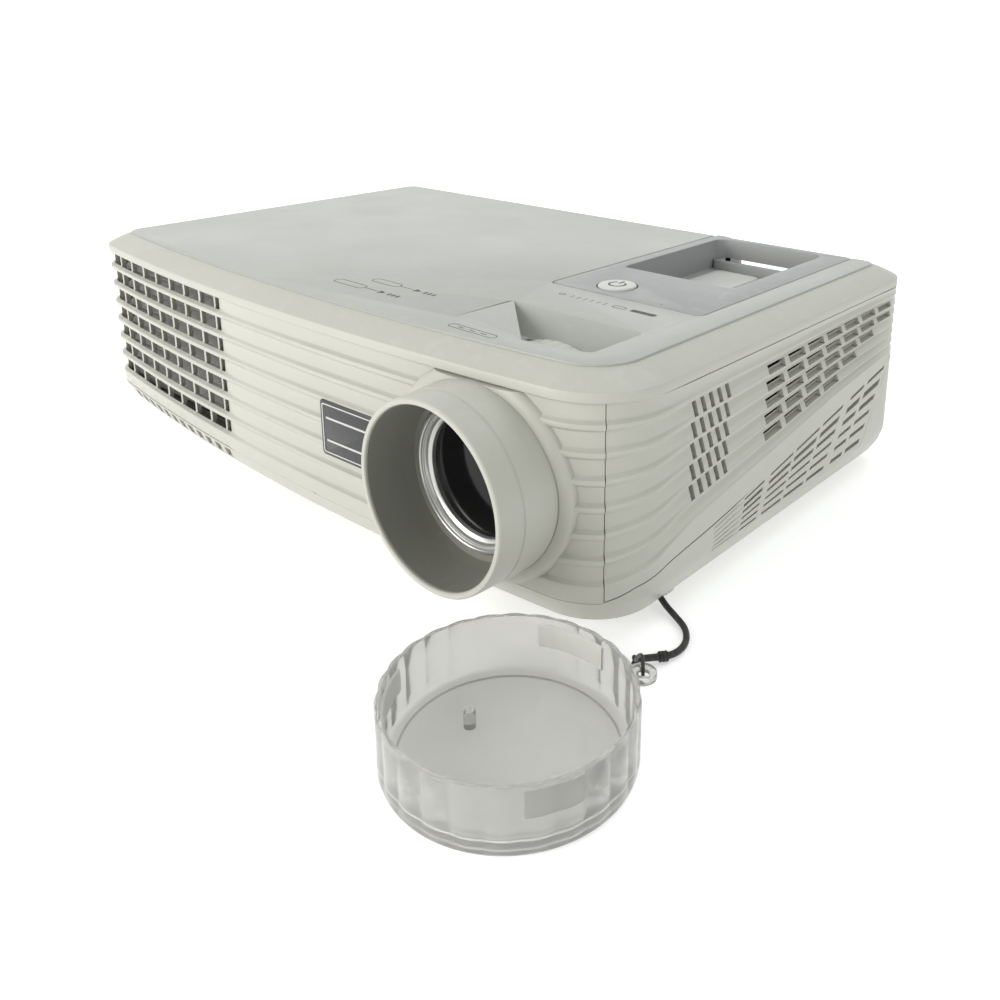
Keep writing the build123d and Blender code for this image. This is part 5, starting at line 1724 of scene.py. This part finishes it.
@dataclass
class HandleInsert:
    """Grey insert with the keys, the sloping pocket and the handle bar at the rear."""

    x: Spot = (65.1, 129.9)
    y: Spot = (-19.8, 88.0)
    pocket_x: Spot = (70.5, 119.5)
    pocket_y: Spot = (14.0, 84.5)
    top: float = 81.95
    floor: float = 70.0
    ramp_end: float = 42.0
    key_spot: Spot = (86.5, -8.0)

    def ramp_height(self, y: float) -> float:
        """Height of the pocket floor at a depth in the case."""
        return self.top + 0.4 - (self.top + 0.4 - self.floor) * ease(self.pocket_y[0] - 1, self.ramp_end, y)

    def body(self) -> bpy.types.Object:
        """Insert carved from one block."""
        plate = Draft().prism(rounded_box(*self.x, self.y[0], self.y[1] + 0.3, 2.6), 64.0, self.top).build("insert_shell")
        soften(plate, 0.4, 2, 60)
        outline = rounded_box(*self.pocket_x, *self.pocket_y, 5.0, 8)
        room = Draft().prism(outline, 60.0, 95.0).build("pocket_room")
        profile = [(10.0, 96.0)] + [(y, self.ramp_height(y)) for y in (10.0 + 1.6 * i for i in range(22))] + [(100.0, self.floor), (100.0, 96.0)]
        wedge = Draft().rings([[(x, y, z) for y, z in profile] for x in (60.0, 135.0)]).build("pocket_wedge")
        carve(room, wedge, "INTERSECT")
        carve(plate, room)
        reach = Draft().prism(rounded_box(73.5, 116.5, 78.5, 120.0, 3.0), 50.0, self.top - 8.0).build("reach_gap")
        carve(plate, reach)
        sink = Draft().turned(
            [(0.0, 70.0), (7.55, 70.0), (7.55, 90.0), (0.0, 90.0)], self.key_spot, Axis.UPRIGHT, 64
        ).build("key_sink")
        carve(plate, sink)
        hole = Draft().prism(rounded_box(76.6, 98.4, 47.6, 73.4, 3.4), 60.0, 72.0).build("pocket_key_sink")
        carve(plate, hole)
        return soften(plate, 0.45, 3, 35)

    def grip_liner(self) -> bpy.types.Object:
        """Lining of the finger space under the bar, open to the rear."""
        liner = Draft().prism(rounded_box(70.8, 119.2, 77.6, 95.6, 2.0), 50.4, 73.9).build("grip_liner")
        hollow = Draft().wall(rounded_box(73.5, 116.5, 52.5, 90.0, 2.5), 79.6, 110.0).build("grip_hollow")
        return soften(carve(liner, hollow), 0.3, 2, 50)

    def bar(self) -> bpy.types.Object:
        """Handle bar across the rear, with its saddle."""
        draft = Draft()
        rings = []
        for step in range(53):
            x = mix(self.x[0] + 0.05, self.x[1] - 0.05, step / 52)
            share = step / 52
            dip = 1.5 * ease(0.06, 0.2, share) * (1 - 0.55 * ease(0.55, 0.95, share))
            high = 81.6 - dip
            low = 74.2
            y0, y1 = 84.6, 97.3
            loop = []
            for i in range(28):
                t = 2 * math.pi * i / 28
                c, s = math.cos(t), math.sin(t)
                px = math.copysign(abs(c) ** 0.55, c)
                pz = math.copysign(abs(s) ** 0.55, s)
                lean = 2.4 * max(0.0, px) * max(0.0, pz)
                loop.append((x, mix(y0, y1, px / 2 + 0.5), mix(low, high, pz / 2 + 0.5) - lean))
            rings.append(loop)
        return settle(draft.rings(rings).build("handle_bar"), 50)

    def standby(self) -> tuple[bpy.types.Object, bpy.types.Object]:
        """Round key with its sign, in two pieces."""
        profile = [(0.0, 76.0), (6.9, 76.0), (6.95, 82.1), (6.6, 82.5), (5.6, 82.62), (0.0, 82.7)]
        key = settle(Draft().turned(profile, self.key_spot, Axis.UPRIGHT, 64).build("standby_button"), 30)
        x, y = self.key_spot
        draft = Draft()
        loops = []
        for radius, z in ((3.3, 82.6), (3.3, 82.74), (2.65, 82.74), (2.65, 82.6)):
            loops.append([(x + radius * math.cos(t), y + radius * math.sin(t), z) for t in (math.radians(-235 + 290 * i / 40) for i in range(41))])
        count = 41
        for loop in loops:
            draft.points.extend(loop)
        for k in range(4):
            n = (k + 1) % 4
            for i in range(count - 1):
                draft.faces.append((k * count + i, k * count + i + 1, n * count + i + 1, n * count + i))
        draft.faces += [tuple(k * count for k in range(4)), tuple(k * count + count - 1 for k in (3, 2, 1, 0))]
        draft.prism(rounded_box(x - 0.32, x + 0.32, y + 0.9, y + 4.2, 0.2, 2), 82.6, 82.76)
        return key, settle(draft.build("standby_sign"))

    def pocket_key(self) -> bpy.types.Object:
        """Large light key on the pocket floor, gently dished."""
        draft = Draft()
        rings = []
        for inset, z in ((0.0, 64.5), (0.0, 70.6), (0.25, 71.1), (0.8, 71.4), (3.0, 71.3), (6.0, 71.15), (9.5, 71.1)):
            rings.append([(x, y, z) for x, y in rounded_box(77.0 + inset, 98.0 - inset, 48.0 + inset, 73.0 - inset, max(3.0 - inset * 0.4, 0.6))])
        return settle(draft.rings(rings).build("select_button"), 40)

    def build(self) -> None:
        """Makes and dresses the insert and keys."""
        dress(self.body(), INSERT, "projector", "handle_insert")
        dress(self.grip_liner(), INSERT, "projector")
        dress(self.bar(), INSERT, "projector")
        key, sign = self.standby()
        dress(key, KEY, "standby_key", "power_key")
        dress(sign, PRINT, "standby_key")
        dress(self.pocket_key(), KEY, "select_key", "pocket_key")


@dataclass
class LowerCase:
    """Tub with the fan of slots on the right and the slanted slots under the grille."""

    floor: float = 5.0
    rows: int = 6
    origin: float = -38.0
    start_z: tuple[float, ...] = (21.0, 19.3, 17.7, 16.3, 14.9, 13.7)
    end_z: tuple[float, ...] = (42.4, 37.5, 32.0, 27.1, 22.2, 16.9)
    end_y: tuple[float, ...] = (81.0, 77.6, 74.2, 70.8, 67.4, 64.0)
    slots: tuple[Spot, ...] = ((-20.0, -8.0), (-4.0, 11.0), (13.0, 29.5), (32.0, 47.0), (53.0, 64.0), (67.0, 81.0))
    wall: float = 2.3

    def inset(self, z: float) -> float:
        """How far the tub tapers in at a height."""
        share = min(max((z - self.floor) / 9.0, 0.0), 1.0)
        return 4.6 * (1 - share) ** 1.3

    def row_line(self, run: float, row: float) -> Point:
        """Place on the fan: run along the row in the top row's y, and row number from the top."""
        index = min(int(row), self.rows - 2)
        share = row - index
        reach = mix(self.end_y[index], self.end_y[index + 1], share)
        y = self.origin + (run - self.origin) * (reach - self.origin) / (self.end_y[0] - self.origin)
        a = mix(self.start_z[index], self.start_z[index + 1], share)
        b = mix(self.end_z[index], self.end_z[index + 1], share)
        z = mix(a, b, (y - self.origin) / (reach - self.origin))
        return 0.0, y, z

    def side_panel(self) -> bpy.types.Object:
        """Right-hand flank carrying the fan of slots."""
        edges = [edge for slot in self.slots for edge in slot]
        plain = [-38.0, -36.5, -30.0, -25.0, 50.0, 84.5]
        columns = tidy_lines([*edges, *plain, 20.0, 40.0, 74.0], 0.3)
        lines = []
        for row in range(self.rows):
            lines += [row - 0.24, row - 0.16, row + 0.16, row + 0.24]
        lines = sorted([*lines, -0.55, 5.55], reverse=True)

        def spot(run: float, row: float) -> Point:
            """Place of a grid point on the flank."""
            _, y, z = self.row_line(run, min(max(row, -0.6), 5.6))
            near = abs(row - round(row))
            groove = 0.45 * ease(0.25, 0.1, near) * ease(-38.5, -36.0, run) if run < -20.5 else 0.0
            return 150.0 - self.inset(z) - groove - 0.02, y, z

        def keep(run: float, row: float) -> bool:
            """Whether a cell of the flank is solid."""
            near = abs(row - round(row)) < 0.2 and -0.5 < row < 5.5
            return not (near and any(a < run < b for a, b in self.slots))

        return thicken(skin("fan_of_slots", columns, lines, spot, keep), self.wall)

    def tub(self) -> bpy.types.Object:
        """Wall of the tub all round, with a window left where the fan panel sits."""
        stations = OUTLINE.stations(0.0, OUTLINE.total(), 3.0, 1.3)
        slots = []
        first = OUTLINE.front_x(-129.0)
        for i in range(12):
            slots.append((first + i * 8.0, first + i * 8.0 + 4.6))
        edges = [edge for slot in slots for edge in slot]
        columns = tidy_lines([*[s for s in stations if all(abs(s - e) > 0.6 for e in edges)], *edges], 0.05)
        rows = [0.0, 0.04, 0.12, 0.25, 0.4, 0.55, 0.7, 0.85, 0.94, 1.0]
        front = (OUTLINE.left_y(-66.0), OUTLINE.right_y(-83.0))

        def spot(station: float, share: float) -> Point:
            """Place of a grid point on the tub."""
            _, y, _, _ = OUTLINE.at(station)
            top = 13.0 if front[0] < station < front[1] else MOULDING.bottom(y)
            lean = 4.2 * (share - 0.5) * ease(slots[0][0] - 9.0, slots[0][0], station)
            lean *= ease(slots[-1][1] + 9.0, slots[-1][1], station)
            z = mix(self.floor, top - 0.28, share)
            x, y, _, _ = OUTLINE.at(station + lean, self.inset(z))
            return x, y, z

        def keep(station: float, share: float) -> bool:
            """Whether a cell of the tub is solid."""
            if 0.12 < share < 0.85 and any(a < station < b for a, b in slots):
                return False
            return True

        piece = thicken(skin("tub_wall", columns, rows, spot, keep), self.wall)
        cutter = Draft()
        outline = []
        for run in (-38.0, -20.0, 0.0, 20.0, 40.0, 60.0, 84.5):
            outline.append(self.row_line(run, -0.55)[1:])
        for run in (84.5, 60.0, 40.0, 20.0, 0.0, -20.0, -38.0):
            outline.append(self.row_line(run, 5.55)[1:])
        cutter.rings([[(x, y, z) for y, z in outline] for x in (138.0, 160.0)])
        carve(piece, cutter.build("fan_window"))
        rear = Draft().rings([[(x, y, z) for x, z in rounded_box(-132.0, 132.0, 11.0, 46.0, 1.5)] for y in (90.0, 106.0)])
        return settle(carve(piece, rear.build("rear_window")), 30)

    def underside(self) -> bpy.types.Object:
        """Floor of the case with openings for the hatch and the feet."""
        outer = []
        for station in OUTLINE.stations(0.0, OUTLINE.total(), 8.0, 1.5)[:-1]:
            x, y, _, _ = OUTLINE.at(station, 4.9)
            outer.append((x, y))
        piece = Draft().prism(outer, 5.0, 7.4).build("case_floor")
        carve(piece, Draft().prism(rounded_box(-47.8, 9.8, -43.8, 15.8, 2.0), 0.0, 12.0).build("hatch_cut"))
        for x, y, radius in ((0.0, -74.0, 8.4), (118.0, 76.0, 4.4)):
            carve(piece, Draft().turned([(0.0, 0.0), (radius, 0.0), (radius, 12.0), (0.0, 12.0)], (x, y), Axis.UPRIGHT, 48).build("foot_cut"))
        carve(piece, Draft().prism(rounded_box(17.0, 35.0, -80.0, -68.0, 2.2), 0.0, 12.0).build("latch_cut"))
        for column in range(14):
            x = -120.0 + column * 5.0
            carve(piece, Draft().prism(rounded_box(x, x + 2.4, 30.0, 58.0, 1.1, 4), 0.0, 12.0).build("inlet_cut"))
        return soften(piece, 0.4, 2, 50)

    def hatch(self) -> bpy.types.Object:
        """Lamp hatch plate; its finger ridges are laid by hatch_grips."""
        draft = Draft().prism(rounded_box(-47.5, 9.5, -43.5, 15.5, 1.8), 5.05, 7.5)
        piece = soften(draft.build("lamp_hatch"), 0.5)
        return piece

    def hatch_grips(self) -> bpy.types.Object:
        """Row of finger ridges on the hatch."""
        return BARS.lay("hatch_grips", [(-19.0, -38.0 + i * 2.6, 4.95) for i in range(5)], (26.0, 1.1, 0.9), 0.4, (0.0, 0.0, 0.0), CASE)

    def anchor(self) -> bpy.types.Object:
        """Post under the case with a hole for the tether."""
        piece = Draft().prism(rounded_box(138.0, 144.0, -55.0, -49.0, 1.4), 2.5, 7.0).build("tether_post")
        hole = Draft().turned([(0.0, -60.0), (1.15, -60.0), (1.15, -40.0), (0.0, -40.0)], (141.0, 3.8), steps=24).build("post_hole")
        return soften(carve(piece, hole), 0.3, 2, 50)

    def build(self) -> None:
        """Makes and dresses the lower case."""
        dress(self.tub(), CASE, "projector", "lower_case")
        dress(self.side_panel(), CASE, "projector")
        dress(self.underside(), CASE, "projector")
        dress(self.hatch(), CASE, "projector", "lamp_door")
        dress(self.hatch_grips(), CASE, "projector")
        dress(self.anchor(), CASE, "projector", "strap_anchor")


@dataclass
class RearPanel:
    """Connector panel with its sockets, remote window and small vents."""

    back: float = 98.0
    inlet: tuple[float, ...] = (-126.0, -98.0, 18.0, 40.0)
    video: tuple[float, ...] = (-44.0, -12.0, 17.0, 28.0)
    jacks: tuple[float, ...] = (-4.0, 20.0, 17.0, 29.0)
    serial: tuple[float, ...] = (28.0, 42.0, 17.0, 29.0)
    remote: tuple[float, ...] = (70.0, 82.0, 24.0, 32.0)
    lock: tuple[float, ...] = (96.0, 104.0, 22.0, 26.0)
    audio: Spot = (52.0, 22.0)

    def slab(self, box: Sequence[float], y0: float, y1: float, inset: float = 0.3, radius: float = 1.2) -> bpy.types.Object:
        """Rounded block standing along the lens direction."""
        x0, x1, z0, z1 = box
        outline = rounded_box(x0 + inset, x1 - inset, z0 + inset, z1 - inset, radius)
        return Draft().wall(outline, y0, y1).build("rear_block")

    def plate(self) -> bpy.types.Object:
        """The panel with an opening for each socket."""
        piece = self.slab((-131.7, 131.7, 11.3, 45.7), self.back - 2.5, self.back - 0.05, 0.0)
        for box in (self.inlet, self.video, self.jacks, self.serial, self.remote, self.lock):
            carve(piece, self.slab(box, 80.0, 110.0, 0.0, 0.8))
        x, z = self.audio
        carve(piece, Draft().turned([(0.0, 80.0), (3.25, 80.0), (3.25, 110.0), (0.0, 110.0)], (x, z), steps=40).build("audio_cut"))
        for column in range(10):
            start = -78.0 + column * 5.0
            carve(piece, self.slab((start, start + 2.5, 34.0, 42.0), 80.0, 110.0, 0.0, 1.2))
        piece.name = "rear_plate"
        return soften(piece, 0.3, 2, 50)

    def mains(self) -> None:
        """Mains inlet with three blades."""
        x0, x1, z0, z1 = self.inlet
        shell = self.slab(self.inlet, 76.0, self.back - 0.2)
        well = [(x0 + 2.6, z0 + 3.0), (x1 - 2.6, z0 + 3.0), (x1 - 2.6, z1 - 7.0), (x1 - 6.6, z1 - 3.0), (x0 + 6.6, z1 - 3.0), (x0 + 2.6, z1 - 7.0)]
        carve(shell, Draft().wall(well, 82.0, 110.0).build("inlet_well"))
        shell.name = "mains_shell"
        dress(soften(shell, 0.35), SOCKET, "projector", "mains_inlet")
        blades = Draft()
        for dx, dz in ((-7.0, -1.0), (0.0, 3.0), (7.0, -1.0)):
            x, z = (x0 + x1) / 2 + dx, (z0 + z1) / 2 + dz
            blades.wall(rounded_box(x - 0.8, x + 0.8, z - 2.0, z + 2.0, 0.3, 2), 81.5, 94.0)
        dress(soften(blades.build("mains_blades"), 0.25), SILVER, "projector")

    def sockets(self) -> None:
        """Video, serial and sound sockets."""
        x0, x1, z0, z1 = self.video
        z = (z0 + z1) / 2
        body = self.slab(self.video, 82.0, self.back - 0.4)
        body.name = "video_block"
        dress(soften(body, 0.3), SOCKET, "projector", "vga_port")
        shell = Draft()
        outer = [(x0 + 7.2, z + 3.9), (x1 - 7.2, z + 3.9), (x1 - 8.6, z - 3.9), (x0 + 8.6, z - 3.9)]
        inner = [(x0 + 8.0, z + 3.1), (x1 - 8.0, z + 3.1), (x1 - 9.2, z - 3.1), (x0 + 9.2, z - 3.1)]
        face, root = self.back - 0.1, 95.0
        path = ((outer, root), (outer, face), (inner, face), (inner, root))
        rings = [[(px, depth, pz) for px, pz in loop] for loop, depth in path]
        shell.rings([*rings, rings[0]], caps=False)
        for x in (x0 + 3.5, x1 - 3.5):
            shell.turned([(0.0, 96.0), (2.1, 96.0), (2.1, self.back - 0.3), (1.5, self.back - 0.05), (0.0, self.back - 0.05)], (x, z), steps=6)
        dress(settle(shell.build("video_shell")), STEEL, "projector")
        pins = Draft()
        for row in range(3):
            for i in range(5):
                spot = (x0 + 10.6 + i * 2.5 + (row % 2) * 0.7, z + 1.8 - row * 1.8)
                pins.turned([(0.0, 97.3), (0.45, 97.3), (0.45, 97.55), (0.0, 97.55)], spot, steps=12)
        dress(settle(pins.build("video_contacts")), BRASS, "projector")
        x0, x1, z0, z1 = self.jacks
        z = (z0 + z1) / 2
        block = self.slab(self.jacks, 80.0, self.back - 1.0)
        rings, cores = Draft(), Draft()
        for x in (x0 + 6.0, x1 - 6.0):
            carve(block, Draft().turned([(0.0, 86.0), (3.1, 86.0), (3.1, 110.0), (0.0, 110.0)], (x, z), steps=40).build("jack_cut"))
            rings.turned([(3.1, 92.0), (4.2, 92.0), (4.2, 97.6), (3.9, 97.9), (3.4, 97.9), (3.1, 97.6)], (x, z), steps=48)
            cores.turned([(0.0, 85.0), (1.6, 85.0), (1.6, 93.0), (0.9, 94.0), (0.0, 94.0)], (x, z), steps=24)
        block.name = "jack_block"
        dress(soften(block, 0.3, 2, 60), SOCKET, "projector", "video_jacks")
        dress(settle(rings.build("jack_rings")), BRASS, "projector")
        dress(settle(cores.build("jack_cores")), SOCKET, "projector")
        x0, x1, z0, z1 = self.serial
        port = self.slab(self.serial, 80.0, self.back - 0.6)
        carve(port, self.slab((x0 + 2, x1 - 2, z0 + 2, z1 - 2), 84.0, 110.0, 0.0, 2.6))
        port.name = "serial_block"
        dress(soften(port, 0.3, 2, 60), SOCKET, "projector", "serial_port")
        x, z = self.audio
        jack = Draft().turned([(1.85, 84.0), (3.1, 84.0), (3.1, 97.7), (2.8, 97.95), (2.1, 97.95), (1.85, 97.6)], (x, z), steps=48)
        dress(settle(jack.build("sound_jack_ring")), BRASS, "projector", "audio_jack")
        window = self.slab(self.remote, 94.0, self.back - 0.05, 0.3, 1.0)
        window.name = "remote_window"
        dress(soften(window, 0.4), IR, "projector", "ir_window")

    def build(self) -> None:
        """Makes and dresses the rear."""
        dress(self.plate(), PANEL, "projector", "rear_panel")
        self.mains()
        self.sockets()


@dataclass
class Feet:
    """Drop-down foot, its release key, the rear feet and the screws."""

    front: Spot = (0.0, -74.0)
    rear: Spot = (118.0, 76.0)
    fixed: Spot = (-118.0, 76.0)
    screws: tuple[Spot, ...] = ((-134.0, -62.0), (134.0, -60.0), (-134.0, 84.0), (134.0, 30.0), (20.0, 84.0), (-60.0, 84.0))

    def screw_heads(self, spots: Sequence[Spot], radius: float, low: float, name: str) -> bpy.types.Object:
        """Domed heads with a straight slot."""
        draft = Draft()
        for spot in spots:
            draft.turned([(0.0, 6.0), (radius, 6.0), (radius, low + 0.55), (radius * 0.85, low + 0.12), (radius * 0.5, low), (0.0, low)], spot, Axis.UPRIGHT, 40)
        piece = draft.build(name)
        slots = Draft()
        for x, y in spots:
            slots.prism(rounded_box(x - radius * 0.6, x + radius * 0.6, y - 0.32, y + 0.32, 0.15, 2), low - 1.0, low + 0.7)
        carve(piece, slots.build("screw_slots"))
        return settle(piece)

    def build(self) -> None:
        """Makes and dresses the feet and screws."""
        post = [(0.0, 3.0), (8.0, 3.0), (8.0, 13.0)]
        for i in range(7):
            z = 14.0 + i * 4.0
            post += [(8.0, z - 0.2), (7.3, z + 0.3), (7.3, z + 1.7), (8.0, z + 2.2)]
        post += [(8.0, 45.0), (7.4, 46.0), (0.0, 46.0)]
        dress(settle(Draft().turned(post, self.front, Axis.UPRIGHT, 72).build("drop_post")), PANEL, "drop_foot", "front_foot")
        pad = [(0.0, 0.4), (6.5, 0.4), (7.0, 0.0), (9.8, 0.0), (10.7, 0.35), (11.0, 1.2), (11.0, 3.6), (10.5, 4.2), (0.0, 4.2)]
        dress(settle(Draft().turned(pad, self.front, Axis.UPRIGHT, 96, lambda turn, reach: -0.18 * (math.sin(turn * 24) > 0.2) * (0.8 < reach < 3.9)).build("drop_pad")), RUBBER, "drop_foot")
        x, y = self.front
        key = Draft().prism(rounded_box(x + 17.3, x + 34.7, y - 5.7, y + 5.7, 2.0), 4.25, 8.4).build("release_key")
        dress(soften(key, 0.35), KEY, "foot_key", "foot_release")
        dress(BARS.lay("release_grips", [(x + 21.0 + i * 2.5, y, 4.3) for i in range(5)], (0.8, 8.0, 0.16), 0.05, (0.0, 0.0, 0.0), KEY), KEY, "foot_key")
        screw = [(0.0, 0.5), (5.0, 0.5), (5.6, 0.0), (8.0, 0.0), (8.8, 0.4), (9.0, 1.0), (9.0, 3.0), (8.6, 3.6), (4.0, 3.6)]
        for i in range(20):
            z = 4.0 + i * 0.8
            screw += [(3.96, z), (3.5, z + 0.4)]
        screw += [(3.6, 20.0), (0.0, 20.0)]
        knurl = Draft().turned(screw, self.rear, Axis.UPRIGHT, 180, lambda turn, reach: -0.7 * max(0.0, math.cos(turn * 18)) ** 3 * (reach < 3.65))
        dress(settle(knurl.build("levelling_screw")), RUBBER, "levelling_foot", "rear_foot_screw")
        plain = [(0.0, 0.4), (6.0, 0.4), (6.6, 0.0), (7.9, 0.0), (8.8, 0.5), (9.0, 1.3), (9.0, 5.0), (0.0, 5.0)]
        dress(settle(Draft().turned(plain, self.fixed, Axis.UPRIGHT, 80).build("plain_foot")), RUBBER, "projector", "rear_foot_fixed")
        dress(self.screw_heads(self.screws, 2.8, 4.15, "case_screw_heads"), STEEL, "projector", "case_screws")
        dress(self.screw_heads([(2.0, -14.0)], 3.6, 3.45, "hatch_screw_head"), STEEL, "projector", "lamp_door_screw")


@dataclass
class Inside:
    """Procedural finishes for the working pieces left as they were packed."""

    finishes: dict[str, Finish] = field(default_factory=lambda: {
        "key_board": BOARD, "dmd_board": BOARD, "ballast_board": BOARD, "power_board": BOARD, "main_board": BOARD,
        "lens_barrel": BLACK, "zoom_group": BLACK, "rear_lens": GLASS, "middle_lens": GLASS, "zoom_ring": BRASS,
        "optical_engine": CAST, "light_tunnel": QUARTZ, "colour_wheel": QUARTZ, "dmd_heatsink": SINK,
        "wheel_motor": STEEL, "lamp_housing": STEEL, "board_stands": BRASS, "rear_foot_nut": BRASS,
        "lamp_reflector": SINK, "lamp_burner": QUARTZ, "fan_frame": FAN, "fan_rotor": FAN, "blower_housing": FAN,
        "blower_rotor": FAN, "speaker": FAN, "foot_housing": PANEL,
    })

    def build(self) -> None:
        """Puts each finish on its node."""
        for name, finish in self.finishes.items():
            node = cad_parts[name]
            material = finish.material()
            if not node.material_slots:
                node.data.materials.append(material)
            for slot in node.material_slots:
                slot.material = material
            LOG.info("%s: %s", name, finish.name)


def main() -> None:
    """Builds every sub-assembly in order and reports each piece."""
    logging.basicConfig(level=logging.INFO, format="%(name)s %(message)s")
    studio = Studio()
    studio.camera()
    eyelet = LensCap().build()
    Tether().build(eyelet)
    studio.build()
    mount = LensMount()
    mount.build()
    FrontCover(mount).build()
    Badge().build()
    SideWalls().build()
    TopCover().build()
    HandleInsert().build()
    LowerCase().build()
    RearPanel().build()
    Feet().build()
    Inside().build()


if __name__ == "__main__":
    main()
